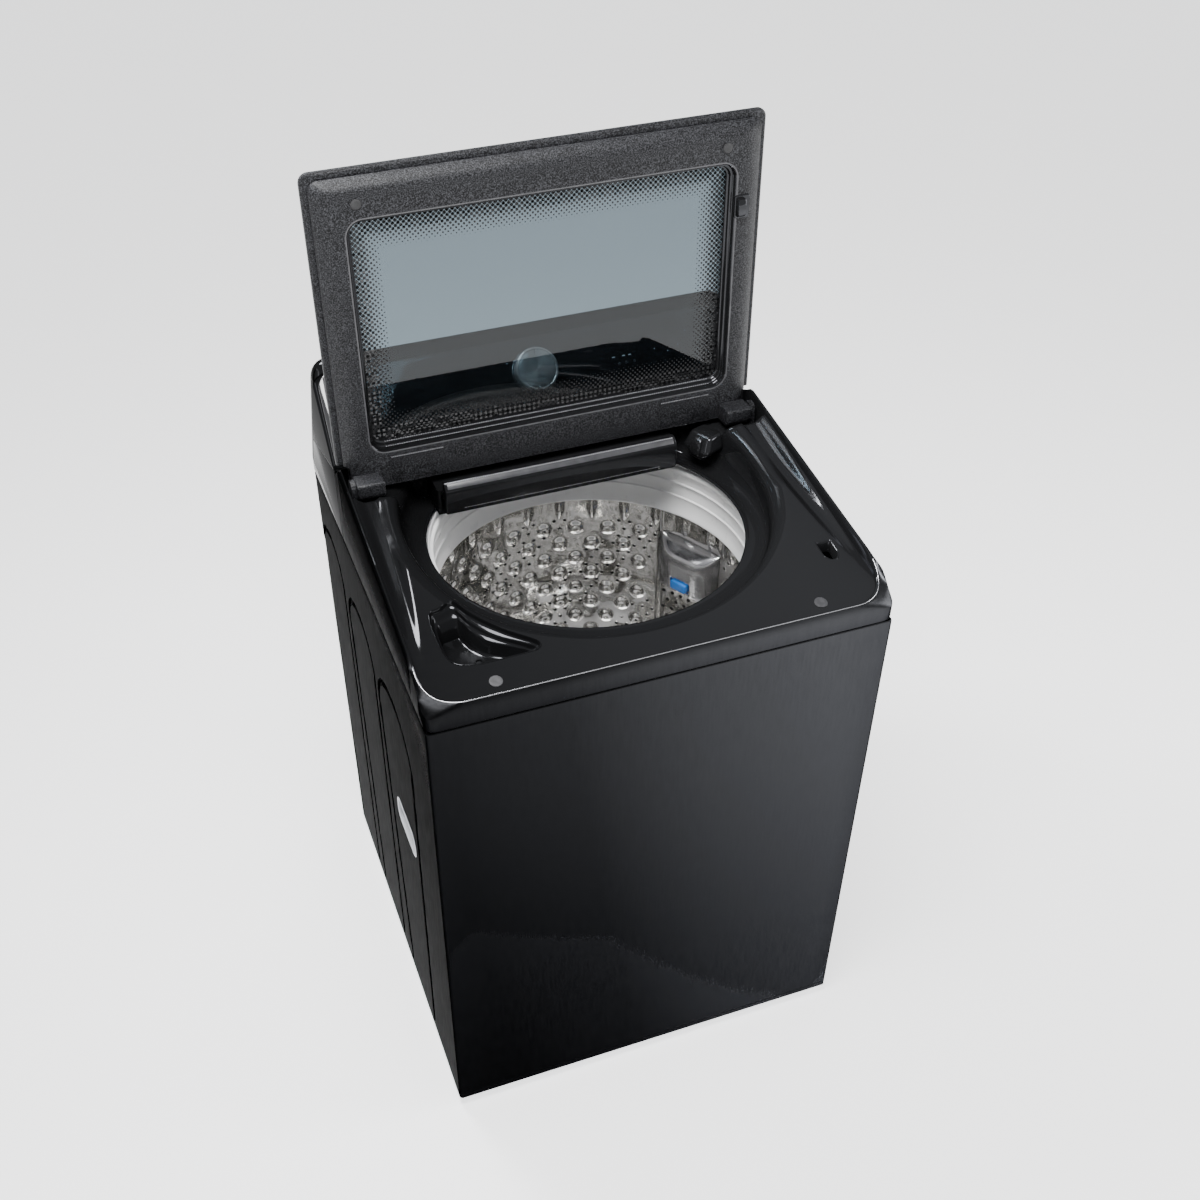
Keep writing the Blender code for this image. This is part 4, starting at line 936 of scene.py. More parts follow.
def nozzle():
    """Spray head on the funnel wall: a faceted block over a lower hood, with a slotted mouth."""
    angle = math.radians(22)
    place = Matrix.Translation((0.262 * math.cos(angle), OPENING.y + 0.262 * math.sin(angle), 0.937))
    place = place @ Matrix.Rotation(angle - math.pi / 2, 4, "Z") @ Matrix.Diagonal((1.16, 1.10, 1.12, 1.0))

    def stack(*levels):
        """Solid through rounded rectangles given as (half width, front, back, z, corner)."""
        return loft([[(x, y, z) for x, y in rounded_rect(-half, half, front, back, r, 4)]
                     for half, front, back, z, r in levels])
    hood = stack((0.0120, -0.0150, 0.0100, -0.0190, 0.004), (0.0150, -0.0185, 0.0130, -0.0175, 0.005),
                 (0.0225, -0.0210, 0.0150, -0.0060, 0.006), (0.0235, -0.0205, 0.0150, -0.0030, 0.006),
                 (0.0225, -0.0185, 0.0150, 0.0000, 0.006), (0.0190, -0.0130, 0.0150, 0.0125, 0.005),
                 (0.0180, -0.0110, 0.0150, 0.0150, 0.005), (0.0150, -0.0070, 0.0150, 0.0165, 0.004))
    face = stack((0.0070, -0.0222, -0.0150, -0.0120, 0.002), (0.0100, -0.0236, -0.0150, -0.0050, 0.002),
                 (0.0080, -0.0200, -0.0120, 0.0070, 0.002), (0.0060, -0.0150, -0.0100, 0.0120, 0.002))
    piece("spray_head", *placed(place, hood, face), SHADED_GLOSS, "cabinet", "black_gloss", ["water_nozzle"],
          smooth=50)
    # Painted shade: the spray holes are near-black discs on the mouth.
    dot = turned([(0, -0.0004), (0.0008, -0.0004), (0.0008, 0.0002), (0, 0.0002)], 12)
    holes = [placed(Matrix.Translation((k * 0.0021, -0.0175 + 0.0002 * abs(k), -0.0186)), dot)
             for k in range(-4, 5)]
    piece("spray_holes", *placed(place, *holes), HOLE_SHADE, "cabinet", "black_gloss")


def drawer():
    """Detergent drawer's front: a bevelled top strip with a fine ridge row, and a dark face; the ridge row
    and a dashed line below are light grey as painted highlight.
    """
    y, x = 0.060, 0.190
    face = [(y + 0.0158, 0.9042), (y + 0.0050, 0.9042), (y + 0.0022, 0.9052), (y + 0.0006, 0.9075),
            (y, 0.9100), (y, 0.9455), (y + 0.0010, 0.9478), (y + 0.0070, 0.9562), (y + 0.0086, 0.9576),
            (y + 0.0104, 0.9580), (y + 0.0158, 0.9580)]
    rings = []
    for share, pull_y, pull_z in ((0, 0.066, 0.044), (0.0006, 0.030, 0.020), (0.0022, 0.0, 0.0)):
        rings.append([(-x + share, py + (0.010 + y - py) * pull_y, pz + (0.931 - pz) * pull_z)
                      for py, pz in face])
    rings += [[(-px, py, pz) for px, py, pz in ring] for ring in rings[::-1]]
    piece("drawer_face", *loft(rings), SHADED_GLOSS, "drawer", "black_gloss", ["drawer_front"], smooth=24)
    lean = math.atan2(0.0084, 0.0060)
    place = Matrix.Translation((0, y + 0.0044, 0.9523)) @ Matrix.Rotation(lean, 4, "X")
    strip = block(-x + 0.004, x - 0.004, -0.0044, 0.0044, -0.0004, 0.0006, 0.0012, 0.0003)
    piece("drawer_strip", *placed(place, strip), STRIP_AND_EDGE_HIGHLIGHT, "drawer", "graphite_plastic")
    # painted highlight: light grey teeth along the strip's upper edge
    teeth = [block(px - 0.0009, px + 0.0009, 0.0044, 0.0062, -0.0002, 0.0011, 0.0004, 0.0003)
             for px in spaced(-x + 0.006, x - 0.006, 118)]
    piece("drawer_ridges", *placed(place, *teeth), HIGHLIGHT_DOTS, "drawer", "graphite_plastic")
    # painted highlight: light grey dashes along a fine line near the bottom
    dashes = [block(px - 0.0019, px + 0.0019, y - 0.00025, y + 0.0006, 0.9128, 0.9134, 0.0002, 0.0001)
              for px in spaced(-x + 0.030, x - 0.030, 64)]
    piece("drawer_line", *join(*dashes), HIGHLIGHT_DOTS, "drawer", "graphite_plastic")


# ------------------------------------------------------------ console
def face_matrix():
    """From face space (x, along the slope, out of it) to the console."""
    rows = Matrix(((1, 0, 0), (0, FACE_DIR.x, FACE_OUT.x), (0, FACE_DIR.y, FACE_OUT.y)))
    return Matrix.Translation((0, FACE_LOW.x, FACE_LOW.y)) @ rows.to_4x4()


def console():
    length = (FACE_HIGH - FACE_LOW).length
    low, high = FACE_LOW + FACE_DIR * 0.0045, FACE_LOW + FACE_DIR * (length - 0.004)
    bed = 0.0043
    outline = [Vector((0.1380, 0.9773)), low, low - FACE_OUT * bed, high - FACE_OUT * bed, high]
    outline += [Vector(p) for p in ((0.2290, 1.1018), (0.2320, 1.1042), (0.2370, 1.1068), (0.2420, 1.1080),
                                    (0.2480, 1.1072), (0.2540, 1.1040), (0.2588, 1.0975), (0.2620, 1.0900),
                                    (HALF_D - 0.0020, 0.8885), (HALF_D - 0.0010, 0.8860),
                                    (HALF_D - 0.001, 0.8782), (0.3448, 0.8782), (0.3122, 0.9366))]
    rings, corner = [], 0.026
    for angle in (90, 80, 68, 56, 44, 30, 15, 0):
        inward = HALF_W - corner + corner * math.sin(math.radians(angle))
        u = max(0.0, (inward - (HALF_W - corner)) / corner)
        drop = corner * (1 - math.sqrt(max(0.0, 1 - u * u)))
        ring = []
        for p in outline:
            base = float(np.interp(p.x, (0.138, 0.3122, 0.3448), (0.9773, 0.9366, 0.8782)))
            share = max(0.0, p.y - base) / 0.150
            ring.append((-inward, p.x + 0.35 * drop * share * (1 if p.x < 0.235 else -1), p.y - drop * share))
        rings.append(ring)
    rings += [[(-x, y, z) for x, y, z in ring] for ring in rings[::-1]]
    piece("console_body", *loft(rings), SHADED_GLOSS, "cabinet", "black_gloss", ["console_housing"], smooth=30)
    m = face_matrix()

    def plate(half, bottom, top, r, out):
        foot = 0.004
        outline = (arc(half - foot, bottom + foot, foot, -90, 0, 4) + arc(half - r, top - r, r, 0, 90, 12)
                   + arc(-half + r, top - r, r, 90, 180, 12)
                   + arc(-half + foot, bottom + foot, foot, 180, 270, 4))
        return [m @ Vector((x, s, out)) for x, s in outline]
    rings = [plate(0.3372, 0.0052, length - 0.0048, 0.0245, -0.0040),
             plate(0.3378, 0.0050, length - 0.0046, 0.0250, -0.0020),
             plate(0.3378, 0.0050, length - 0.0046, 0.0250, -0.0008),
             plate(0.3372, 0.0056, length - 0.0052, 0.0244, -0.0001),
             plate(0.3362, 0.0066, length - 0.0062, 0.0234, 0.0002)]
    piece("console_face", *loft(rings), PANEL_GLASS, "cabinet", "black_glass", ["console_panel"], smooth=50)
    marks = []
    for x, s in ((0.1326, 0.0882), (0.1498, 0.0882), (0.1601, 0.0882), (0.2035, 0.0901), (0.2250, 0.0831),
                 (0.2441, 0.0904), (0.2610, 0.1102), (-0.0416, 0.1093)):
        wide = 0.0024 if x < 0.17 and x > 0 else 0.0008
        marks.append(block(x - wide, x + wide, s - 0.0008, s + 0.0008, 0.0001, 0.0004, 0.0003, 0.0001))
    piece("indicator_lights", *placed(m, *marks), LED, "cabinet", "white_plastic")
    icons = []
    for x in (0.1403, 0.1523, 0.1662):
        icons.append(lathe([(0.0016, 0.0001), (0.0021, 0.0001), (0.0021, 0.0003), (0.0016, 0.0003)], 20,
                           Vector((x, 0.0769))))
        icons.append(block(x - 0.0003, x + 0.0003, 0.0764, 0.0795, 0.0001, 0.0003, 0.0001, 0.00005))
    for k in range(12):
        a = math.radians(-60 + k * 300 / 11)
        x, s = -0.0500 * math.sin(a), KNOB_ALONG - 0.0440 * math.cos(a)
        icons.append(block(x - 0.0004, x + 0.0004, s - 0.0004, s + 0.0004, 0.0001, 0.0002, 0.0001, 0.00005))
    piece("panel_marks", *placed(m, *icons), MARKS, "cabinet", "white_plastic")
    edging = [block(-half, half, s - 0.00025, s + 0.00025, 0.0001, 0.0003, 0.0002, 0.0001)
              for s, half in ((0.0100, 0.330), (length - 0.0105, 0.306))]
    piece("panel_edging", *placed(m, *edging), MARKS, "cabinet", "black_glass")


def knob():
    place = face_matrix() @ Matrix.Translation((0, KNOB_ALONG, 0))
    profile = [(0, -0.0105), (0.0029, -0.0105), (0.0029, 0.0004), (0.0318, 0.0004), (0.0330, 0.0010),
               (0.0344, 0.0022), (0.0345, 0.0060), (0.0343, 0.0170), (0.0338, 0.0186), (0.0326, 0.0196),
               (0.0312, 0.0199), (0.0306, 0.0193), (0.0300, 0.0191), (0.0294, 0.0194), (0.0150, 0.0189),
               (0, 0.0187)]
    verts, faces = turned(profile, 160)
    dial = piece("dial", verts, faces, ALLOY, "knob", "brushed_alloy", ["program_knob"], smooth=40)
    dial.parent = None
    dial.matrix_world = place
    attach(dial, "knob")
    bar = block(0.0341, 0.0347, -0.0005, 0.0005, 0.0040, 0.0160, 0.0002, 0.0002)
    grips = [placed(Matrix.Rotation(2 * math.pi * k / 72, 4, "Z"), bar) for k in range(72)]
    mark = block(-0.0006, 0.0006, 0.0235, 0.0285, 0.0188, 0.01945, 0.0003, 0.0001)
    piece("dial_grip", *placed(place, *grips, mark), CHROME, "knob", "brushed_alloy")
    hoop = turned([(0.0350, 0.0001), (0.0366, 0.0001), (0.0366, 0.0005), (0.0350, 0.0005)], 120)
    piece("dial_surround", *placed(place, hoop), CHROME, "cabinet", "black_gloss")


# ------------------------------------------------------------ tub ring and drum
def tub_rings():
    cover = [(0.2925, 0.8303), (0.2925, 0.8780), (0.2915, 0.8795), (0.2520, 0.8795), (0.2504, 0.8802),
             (0.2496, 0.8838), (0.2484, 0.8848), (0.2472, 0.8846), (0.2465, 0.8834), (0.2465, 0.8776),
             (0.2470, 0.8770), (0.2895, 0.8770), (0.2895, 0.8303)]
    piece("tub_cover_ring", *lathe(cover, 220), LIGHT_GREY, "tub", "grey_plastic", ["tub_cover"], smooth=40)
    ring = [(0.2428, 0.7853), (0.2700, 0.7853), (0.2720, 0.8700), (0.2660, 0.8746), (0.2470, 0.8748),
            (0.2440, 0.8742), (0.2420, 0.8722), (0.2412, 0.8692), (0.2418, 0.8664), (0.2440, 0.8630),
            (0.2462, 0.8580), (0.2472, 0.8520), (0.2470, 0.8474), (0.2450, 0.8462), (0.2447, 0.8448),
            (0.2468, 0.8434),
            (0.2478, 0.8380), (0.2476, 0.8290), (0.2466, 0.8226), (0.2444, 0.8214), (0.2441, 0.8198),
            (0.2456, 0.8184), (0.2462, 0.8120), (0.2456, 0.8020), (0.2440, 0.7940), (0.2424, 0.7900),
            (0.2420, 0.7870)]
    piece("balancer", *lathe(ring, 240), WHITE, "basket", "white_plastic", ["balance_ring"], smooth=28)


DOMES, ROW_STEP = 29, 0.0325               # pressed domes in a row, and the rise from row to row


def drum_wall():
    """Pressed steel wall: rows of domes, a rib over each, and beads beside the filter's channel."""
    low, high = 0.232, 0.7848
    cols, rows = 620, 206
    angles = np.linspace(0, 2 * np.pi, cols, endpoint=False)
    heights = np.linspace(high, low, rows)
    a, z = np.meshgrid(angles, heights)
    arc_len = a * DRUM_R
    relief = 0.0010 * np.sin(a * 9 + z * 31) + 0.0005 * np.sin(a * 17 - z * 53 + 1.0)
    girth = 2 * np.pi * DRUM_R
    pitch = girth / DOMES
    centres = [((k + 0.5 * (row % 2)) * pitch, 0.262 + row * ROW_STEP)
               for row in range(15) for k in range(DOMES)]
    panel = FILTER_ANGLE * DRUM_R
    centres = [c for c in centres if abs(c[0] - panel) > 0.078]
    for cx, cz in centres:
        gap = np.abs(arc_len - cx)
        gap = np.minimum(gap, girth - gap)
        near = np.hypot(gap, z - cz)
        dome = np.clip((0.0145 - near) / 0.0075, 0, 1)
        dome = dome * dome * (3 - 2 * dome)
        dish = np.clip((0.0062 - near) / 0.0050, 0, 1)
        relief += 0.0052 * dome - 0.0017 * dish * dish * (3 - 2 * dish)
    side = np.abs(((a * DOMES / (2 * np.pi)) % 1) - 0.5) * girth / DOMES
    lens = np.clip(1 - ((z - 0.7620) / 0.0280) ** 2, 0, 1)
    rib = np.clip(1 - side / (0.0002 + 0.0075 * lens), 0, 1)
    relief += 0.0060 * np.sqrt(rib) * lens
    relief += 0.0042 * np.exp(-((arc_len - (panel + 0.0655)) / 0.0017) ** 2)
    relief -= 0.0022 * np.exp(-((arc_len - (panel - 0.0655)) / 0.0030) ** 2)
    inner = DRUM_R - 0.0014 - np.clip(relief, -0.0006, 0.009)
    profile_low = [(0.2610, 0.2190), (0.2540, 0.2080), (0.2440, 0.2010), (0.2290, 0.1965), (0.1500, 0.1955),
                   (0.0405, 0.1955), (0.0400, 0.1935), (0.1500, 0.1935), (0.2300, 0.1935), (0.2460, 0.1985),
                   (0.2560, 0.2050), (0.2625, 0.2160), (0.2636, 0.2320), (0.2636, 0.5000), (0.2636, 0.7848)]
    verts = []
    ca, sa = np.cos(angles), np.sin(angles)
    for i in range(rows):
        r = inner[i]
        verts += [(TUB.x + r[j] * ca[j], TUB.y + r[j] * sa[j], heights[i]) for j in range(cols)]
    for r, height in profile_low:
        verts += [(TUB.x + r * ca[j], TUB.y + r * sa[j], height) for j in range(cols)]
    faces = grid_faces(rows + len(profile_low), cols, True, True)
    piece("drum_wall", verts, faces, STEEL, "basket", "stainless", ["drum"], smooth=60)
    perforations(centres, panel)


def perforations(centres, panel):
    """Round holes with raised eyelets between the domes, and one at each dome's middle; each is closed by a
    near-black disc as painted shade.
    """
    places = [(x, z, 0.0035, 0.0024) for x, z in centres]
    girth = 2 * math.pi * DRUM_R
    fine = girth / (3 * DOMES)
    taken = np.array(centres)
    for row in range(32):
        height = 0.2455 + row * (ROW_STEP / 2)
        if height > 0.745:
            break
        for k in range(3 * DOMES):
            x = (k + 0.5 * (row % 2)) * fine
            if abs(x - panel) < 0.069:
                continue
            gap = np.abs(taken[:, 0] - x)
            gap = np.minimum(gap, girth - gap)
            if np.min(np.hypot(gap, taken[:, 1] - height)) < 0.0165:
                continue
            places.append((x, height, 0.0, 0.0032))
    verts, faces, looks = [], [], []
    sides = 10
    for x, z, lift, hole in places:
        angle = x / DRUM_R
        base_r = DRUM_R - 0.0014 - lift
        base = len(verts)
        for size, proud in ((hole + 0.0010, -0.0004), (hole + 0.0005, 0.0003), (hole, 0.0003),
                            (hole * 0.96, 0.0001)):
            for k in range(sides):
                t = 2 * math.pi * k / sides
                turn = angle + size * math.cos(t) / DRUM_R
                r = base_r - proud
                verts.append((TUB.x + r * math.cos(turn), TUB.y + r * math.sin(turn), z + size * math.sin(t)))
        for ring in range(3):
            for k in range(sides):
                j = (k + 1) % sides
                faces.append((base + ring * sides + k, base + ring * sides + j,
                              base + (ring + 1) * sides + j, base + (ring + 1) * sides + k))
                looks.append(0)
        faces.append(tuple(base + 3 * sides + k for k in range(sides)))
        looks.append(1)
    piece("drum_holes", verts, faces, [STEEL, HOLE_SHADE], "basket", "stainless", face_looks=looks, smooth=60)


def drum_block(half_angle, low, high, depth, power, cols, rows, back=0.2617):
    """A dome that stands off the drum wall; depth takes (across, up) in -1..1 and gives a share of depth."""
    front, rear = [], []
    for i in range(rows):
        v = -1 + 2 * i / (rows - 1)
        z = (low + high) / 2 + v * (high - low) / 2
        for j in range(cols):
            u = -1 + 2 * j / (cols - 1)
            angle = FILTER_ANGLE + math.radians(half_angle) * u
            r = back - depth * power(u, v)
            front.append((TUB.x + r * math.cos(angle), TUB.y + r * math.sin(angle), z))
            rear.append((TUB.x + back * math.cos(angle), TUB.y + back * math.sin(angle), z))
    return front + rear, shell_faces(rows, cols)


def shell_faces(rows, cols):
    """Faces of two equal grids joined round their border."""
    faces = grid_faces(rows, cols)
    size = rows * cols
    faces += [tuple(i + size for i in face[::-1]) for face in grid_faces(rows, cols)]
    border = ([(0, j) for j in range(cols)] + [(i, cols - 1) for i in range(1, rows)]
              + [(rows - 1, j) for j in range(cols - 2, -1, -1)] + [(i, 0) for i in range(rows - 2, 0, -1)])
    ids = [i * cols + j for i, j in border]
    for a, b in zip(ids, ids[1:] + ids[:1]):
        faces.append((a, a + size, b + size, b))
    return faces


def filter_unit():
    half_angle = 13.5

    def case(u, v):
        """Share of the dome's depth, with a dip round the release tab."""
        side = max(0.0, 1 - abs(u) ** 3) ** 0.46
        if v > 0.30:
            ends = max(0.0, 1 - ((v - 0.30) / 0.70) ** 2.0) ** 0.55
        else:
            ends = (1 - 0.16 * (0.30 - v) / 1.30) * max(0.0, 1 - abs(v) ** 14) ** 0.4
        across = abs(u) * math.radians(half_angle) * 0.235
        height = 0.6803 + v * 0.0500
        dip = 1 - smoothstep(across, 0.0175, 0.0215)
        dip *= 1 - smoothstep(abs(height - 0.6550), 0.0095, 0.0130)
        return max(0.0, side * ends) * (1 - 0.14 * dip)
    verts, faces = drum_block(half_angle, 0.6303, 0.7303, 0.0358, case, 90, 66)
    piece("filter_case", verts, faces, CHROME, "filter", "dark_chrome", ["lint_filter"], smooth=60)
    m = Matrix.Translation((TUB.x, TUB.y, 0)) @ Matrix.Rotation(FILTER_ANGLE, 4, "Z")
    tab = extrude(rounded_rect(-0.0165, 0.0165, 0.6465, 0.6635, 0.0040, 5), 0.2245, 0.2340, "X", 0.0016)
    piece("filter_button", *placed(m, tab), BLUE, "tab", "blue_plastic", ["filter_tab"], smooth=50)

    def channel(u, v):
        return max(0.0, 1 - abs(u) ** 14) ** 0.5 * max(0.0, 1 - abs(v) ** 60) ** 0.5
    verts, faces = drum_block(13.0, 0.2300, 0.6300, 0.0085, channel, 60, 90)
    piece("channel_panel", verts, faces, STEEL, "basket", "stainless", ["wash_channel"], smooth=60)
    # Painted shade: the channel's holes are near-black discs on its face.
    disc = turned([(0, -0.0002), (0.0026, -0.0002), (0.0034, 0.0004), (0.0024, 0.0007), (0.0022, 0.0002),
                   (0, 0.0002)], 14)
    spots = []
    for row in range(22):
        for k in range(6):
            u = (k - 2.5 + 0.5 * (row % 2) - 0.25) * math.radians(3.9)
            place = (m @ Matrix.Rotation(u, 4, "Z") @ Matrix.Translation((0.2532, 0, 0.2450 + row * 0.0175))
                     @ Matrix.Rotation(-math.pi / 2, 4, "Y"))
            spots.append(placed(place, disc))
    piece("channel_holes", *join(*spots), HOLE_SHADE, "basket", "stainless")


def wash_plate():
    """Ribbed dish that stirs the load, modelled as one height surface over its round plan."""
    rows, cols = 60, 360
    rim = [0.1730, 0.1755, 0.1770, 0.1778, 0.1780, 0.1776, 0.1765, 0.1750]
    flat = rows - len(rim)                 # rows from here on turn down over the edge
    radii = np.concatenate([np.linspace(0.0112, 0.1700, flat), rim])
    verts = []
    for index, r in enumerate(radii):
        for k in range(cols):
            a = 2 * math.pi * k / cols
            base = float(np.interp(r, (0.0112, 0.030, 0.036, 0.090, 0.174, 0.178),
                                   (0.232, 0.232, 0.226, 0.216, 0.210, 0.206)))
            swirl = a * 6 / (2 * math.pi) % 1
            side = abs(swirl - 0.5) * 2 * math.pi * r / 6
            crest = float(np.interp(r, (0.0112, 0.028, 0.150, 0.168, 0.174),
                                    (0.232, 0.246, 0.228, 0.216, 0.208)))
            fin = math.exp(-(side / (0.0065 + 0.03 * r)) ** 2)
            flutes = 0.0010 * math.sin(a * 36) * smoothstep(r, 0.10, 0.15) * (1 - fin)
            z = base + max(0.0, crest - base) * fin + flutes
            if index >= flat:
                z = float(np.interp(index, (flat, flat + 4, flat + 7), (0.2085, 0.2045, 0.2008)))
            verts.append((TUB.x + r * math.cos(a), TUB.y + r * math.sin(a), z))
    for r in (0.1700, 0.0112):
        turns = [2 * math.pi * k / cols for k in range(cols)]
        verts += [(TUB.x + r * math.cos(a), TUB.y + r * math.sin(a), 0.2000) for a in turns]
    piece("wash_dish", verts, grid_faces(rows + 2, cols, True, True), LIGHT_GREY, "wash_plate",
          "white_plastic", ["pulsator"], smooth=60)
    cap = [(0.0, 0.2470), (0.0232, 0.2470), (0.0240, 0.2476), (0.0240, 0.2488), (0.0228, 0.2504),
           (0.0180, 0.2540), (0.0100, 0.2554), (0, 0.2560)]
    piece("wash_cap", *lathe(cap, 64), GREY, "wash_plate", "grey_plastic", ["pulsator_cap"])


# ------------------------------------------------------------ lid
def lid_matrix():
    along = Vector((0, math.cos(LID_LEAN), math.sin(LID_LEAN)))
    out = Vector((0, math.sin(LID_LEAN), -math.cos(LID_LEAN)))
    rows = Matrix(((1, 0, 0), (0, along.y, out.y), (0, along.z, out.z)))
    return Matrix.Translation(LID_ORIGIN) @ rows.to_4x4()


LID = lid_matrix()


def lid_ring(half, low, high, r, t, steps=8):
    return [LID @ Vector((x, s, t)) for x, s in rounded_rect(-half, half, low, high, r, steps)]


def lid_band(name, rows, node, slot_name):
    """Closed band of rounded rectangles; a row is (half, low, high, r, t, look up to the next row)."""
    rings = [lid_ring(*row[:5]) for row in rows]
    count = len(rings[0])
    looks = [row[5] for row in rows for _ in range(count)]
    verts, faces = loft(rings, around=True)
    made = piece(name, verts, faces, [GRAPHITE, SHADED_GLOSS, STRIP_AND_EDGE_HIGHLIGHT], "lid", slot_name, [node], smooth=24,
                 face_looks=looks)
    for side in (-1, 1):
        notch = block(*sorted((side * 0.3222, side * 0.36)), -0.05, 0.0420, -0.02, 0.06, 0.002, 0.0)
        cut(made, placed(LID, notch), "notch")


def lid_frames():
    w, lo, hi = WIN_X, WIN_LOW, WIN_HIGH
    inner = [(0.3280, 0.004, 0.4640, 0.013, 0.0198, 0), (0.3300, 0.002, 0.4660, 0.014, 0.0180, 0),
             (0.3302, 0.0018, 0.4662, 0.014, 0.0150, 0), (0.3280, 0.0020, 0.4642, 0.014, 0.0115, 0),
             (0.3190, 0.0028, 0.4575, 0.014, 0.0046, 0), (0.3130, 0.0034, 0.4530, 0.014, 0.0016, 0),
             (0.3060, 0.0042, 0.4480, 0.014, 0.0002, 0), (0.3000, 0.0060, 0.4440, 0.014, 0.0, 0),
             # painted highlight: from this row to the next, the strip look makes a lighter line round the
             # window's edge
             (w + 0.0038, lo - 0.0038, hi + 0.0038, 0.026, 0.0, 2),
             (w + 0.0016, lo - 0.0016, hi + 0.0016, 0.0236, 0.0004, 1),
             (w + 0.0004, lo - 0.0004, hi + 0.0004, 0.0224, 0.0014, 1), (w, lo, hi, 0.022, 0.0030, 1),
             (w, lo, hi, 0.022, 0.0090, 1), (w - 0.0006, lo + 0.0006, hi - 0.0006, 0.0214, 0.0098, 1),
             (w - 0.0034, lo + 0.0040, hi - 0.0034, 0.019, 0.0102, 1),
             (w - 0.0040, lo + 0.0048, hi - 0.0040, 0.018, 0.0110, 1),
             (w - 0.0042, lo + 0.0050, hi - 0.0042, 0.018, 0.0160, 1),
             (w - 0.0050, lo + 0.0058, hi - 0.0050, 0.017, 0.0168, 1),
             (w - 0.0066, lo + 0.0084, hi - 0.0066, 0.016, 0.0172, 1),
             (w - 0.0070, lo + 0.0090, hi - 0.0070, 0.015, 0.0180, 1),
             (w - 0.0070, lo + 0.0090, hi - 0.0070, 0.015, 0.0198, 0)]
    lid_band("lid_liner", inner, "lid_inner_frame", "graphite_plastic")
    outer = [(0.3370, 0.0030, 0.4730, 0.012, 0.0201, 0), (0.3392, 0.0014, 0.4762, 0.013, 0.0216, 0),
             (0.3400, 0.0010, 0.4765, 0.014, 0.0240, 0), (0.3400, 0.0010, 0.4765, 0.014, 0.0266, 0),
             (0.3392, 0.0018, 0.4756, 0.014, 0.0288, 0), (0.3376, 0.0034, 0.4740, 0.013, 0.0299, 0),
             (0.3360, 0.0050, 0.4724, 0.012, 0.0300, 1), (0.3230, 0.0172, 0.4588, 0.010, 0.0300, 1),
             (0.3220, 0.0180, 0.4580, 0.010, 0.0292, 1), (0.3220, 0.0180, 0.4580, 0.010, 0.0240, 1),
             (0.3000, 0.0500, 0.4220, 0.020, 0.0240, 1), (0.3000, 0.0500, 0.4220, 0.020, 0.0201, 0)]
    lid_band("lid_surround", outer, "lid_outer_frame", "graphite_plastic")
    pane = [(0.3207, 0.0193, 0.4567, 0.009, 0.0244), (0.3217, 0.0183, 0.4577, 0.010, 0.0249),
            (0.3217, 0.0183, 0.4577, 0.010, 0.0288), (0.3207, 0.0193, 0.4567, 0.009, 0.0296)]
    piece("lid_pane", *loft([lid_ring(*row) for row in pane]), GLASS, "lid", "tinted_glass",
          ["lid_glass"], smooth=24)


def frit():
    """Printed halftone border under the glass: solid ink that breaks up into squares and then small dots."""
    step, t = 0.0039, 0.02425
    half, low, high = WIN_X - 0.0040, WIN_LOW + 0.0050, WIN_HIGH - 0.0040
    nx, ns = int(0.3000 / step), int((0.4220 - 0.0500) / step / 2)
    middle = (low + high) / 2
    verts, faces = [], []

    def ring(x, s, size, round_to):
        base = len(verts)
        for k in range(8):
            a = math.radians(22.5 + 45 * k)
            c, d = math.cos(a), math.sin(a)
            square = size / max(abs(c), abs(d))
            reach = square + (size * 1.08 - square) * round_to
            verts.append(LID @ Vector((x + c * reach, s + d * reach, t)))
        return base
    for i in range(-nx, nx + 1):
        for j in range(-ns, ns + 1):
            x, s = i * step, middle + j * step
            inside = min(half - abs(x), (high - low) / 2 - abs(s - middle))
            if inside < -0.020:
                continue
            cover = 1.0 - inside / 0.046
            if cover <= 0.02:
                continue
            if (i + j) % 2 == 0:
                share = min(1.0, cover / 0.5)
                if cover >= 0.5:
                    base = len(verts)
                    h = step / 2
                    for dx, ds in ((-h, -h), (h, -h), (h, h), (-h, h)):
                        verts.append(LID @ Vector((x + dx, s + ds, t)))
                    faces.append((base, base + 1, base + 2, base + 3))
                else:
                    base = ring(x, s, step / 2 * math.sqrt(share), 1 - share)
                    faces.append(tuple(range(base, base + 8)))
            elif cover > 0.5:
                open_share = min(1.0, (1.0 - cover) / 0.5)
                outer = ring(x, s, step / 2, 0.0)
                if open_share <= 0.03:
                    faces.append(tuple(range(outer, outer + 8)))
                    continue
                hole = ring(x, s, step / 2 * 0.98 * math.sqrt(open_share), 1 - open_share)
                for k in range(8):
                    n = (k + 1) % 8
                    faces.append((outer + k, outer + n, hole + n, hole + k))
    piece("glass_print", verts, faces, INK, "lid", "black_gloss", smooth=10)


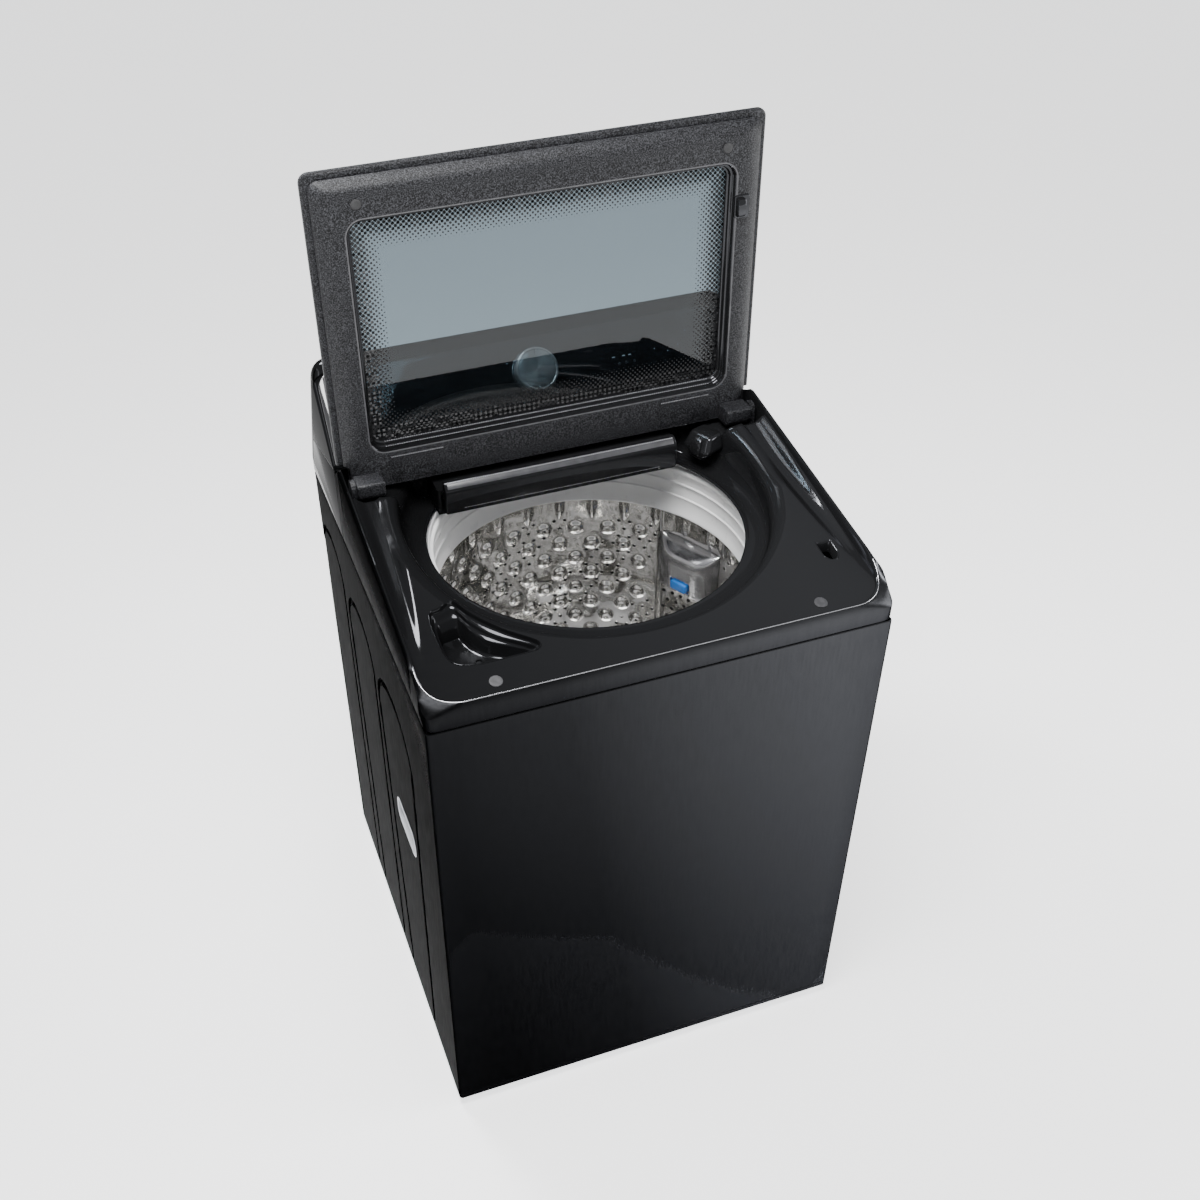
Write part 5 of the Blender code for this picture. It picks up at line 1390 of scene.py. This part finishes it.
def lid_fittings():
    for side, word in ((-1, "left"), (1, "right")):
        foot = LID @ Matrix.Translation((side * 0.271, 0.4335, 0))
        disc = turned([(0, -0.0018), (0.0030, -0.0021), (0.0058, -0.0020), (0.0070, -0.0014),
                       (0.0074, -0.0006), (0.0074, 0.0004), (0, 0.0004)], 48)
        ring = turned([(0.0078, 0.0002), (0.0078, -0.0007), (0.0084, -0.0009), (0.0092, -0.0006),
                       (0.0094, 0.0002)], 48)
        piece("bumper_" + word, *placed(foot, disc), RUBBER, "lid", "black_rubber", ["lid_bumper_" + word])
        piece("bumper_ring_" + word, *placed(foot, ring), GRAPHITE, "lid", "graphite_plastic")
        front, low, high = PIVOT_Y - 0.0170, PIVOT_Z - 0.0175, PIVOT_Z + 0.0100
        outline = [(PIVOT_Y + 0.0150, low), (PIVOT_Y + 0.0150, high)]
        outline += arc(front + 0.0040, high - 0.0040, 0.0040, 90, 180, 6)
        outline += arc(front + 0.0100, low + 0.0100, 0.0100, 180, 270, 10)
        solid = extrude(outline, *sorted((side * 0.2790, side * 0.3220)), "X", 0.0022)
        piece("hinge_block_" + word, *solid, GRAPHITE, "lid", "graphite_plastic", ["hinge_knuckle_" + word],
              smooth=50)
        start, end = sorted((side * 0.176, side * 0.262))
        plate = block(start, end, 0.0100, 0.0520, -0.0010, 0.0004, 0.0020, 0.0005)
        piece("rail_plate_" + word, *placed(LID, plate), GRAPHITE, "lid", "graphite_plastic",
              ["rail_cover_" + word])
        # Painted highlight: light grey ridges along the rail plate's upper edge.
        ridges = [block(x - 0.0007, x + 0.0007, 0.0500, 0.0514, -0.0017, -0.0006, 0.0003, 0.0002)
                  for x in spaced(start + 0.0035, end - 0.0035, 30)]
        piece("rail_ridges_" + word, *placed(LID, *ridges), HIGHLIGHT_DOTS, "lid", "graphite_plastic")
    # Painted highlight: two rows of light grey beads at the window recess's lower edge.
    beads = [block(x - 0.0010, x + 0.0010, s, s + 0.0012, t - 0.0003, t + 0.0006, 0.0004, 0.0002)
             for s, t in ((WIN_LOW + 0.0022, 0.0094), (WIN_LOW + 0.0070, 0.0166))
             for x in spaced(-WIN_X + 0.024, WIN_X - 0.024, 150)]
    piece("recess_beads", *placed(LID, *beads), HIGHLIGHT_DOTS, "lid", "graphite_plastic")
    hook = extrude([(0.3385, -0.0110), (0.3560, -0.0110), (0.3592, -0.0095), (0.3600, -0.0060),
                    (0.3600, 0.0030), (0.3330, 0.0030), (0.3330, -0.0060), (0.3345, -0.0092)],
                   0.2885, 0.3005, "X", 0.0012)
    plate = block(0.2868, 0.3100, 0.3295, 0.3640, -0.0012, 0.0030, 0.0040, 0.0008)
    piece("strike_hook", *placed(LID, hook, plate), SHADED_GLOSS, "lid", "black_gloss", ["latch_strike"], smooth=40)


# ------------------------------------------------------------ nodes that keep their CAD shape
def dress_hidden():
    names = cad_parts
    table = [(ZINC, ("base_frame", "motor_rotor")), (GREY, ("drawer_tray", "outer_tub")),
             (WHITE, ("inlet_valve", "drain_pump")), (SHADED_GLOSS, ("dispenser_housing", "lid_lock")),
             (CAST, ("bearing_housing", "drum_hub", "motor_stator")), (BLUE, ("softener_cap",)),
             (GRAPHITE, ("hinge_bracket_left", "hinge_bracket_right")), (BOARD, ("control_board",)),
             (GREY, ("drain_outlet",)), (RUBBER, ("cord_inlet", "shaft_seal")),
             (STEEL, ("bearing_lower", "bearing_upper", "drive_shaft"))]
    for look, nodes in table:
        dress(look, *nodes)
    dress(ZINC, *[n for n in names if n.startswith("suspension_rod")])


studio()
camera()
cabinet_skin()
handhold_cups()
rear_wall()
feet()
deck_moulding()
seat()
bleach_pocket()
pads()
nozzle()
drawer()
console()
knob()
tub_rings()
drum_wall()
filter_unit()
wash_plate()
lid_frames()
frit()
lid_fittings()
dress_hidden()
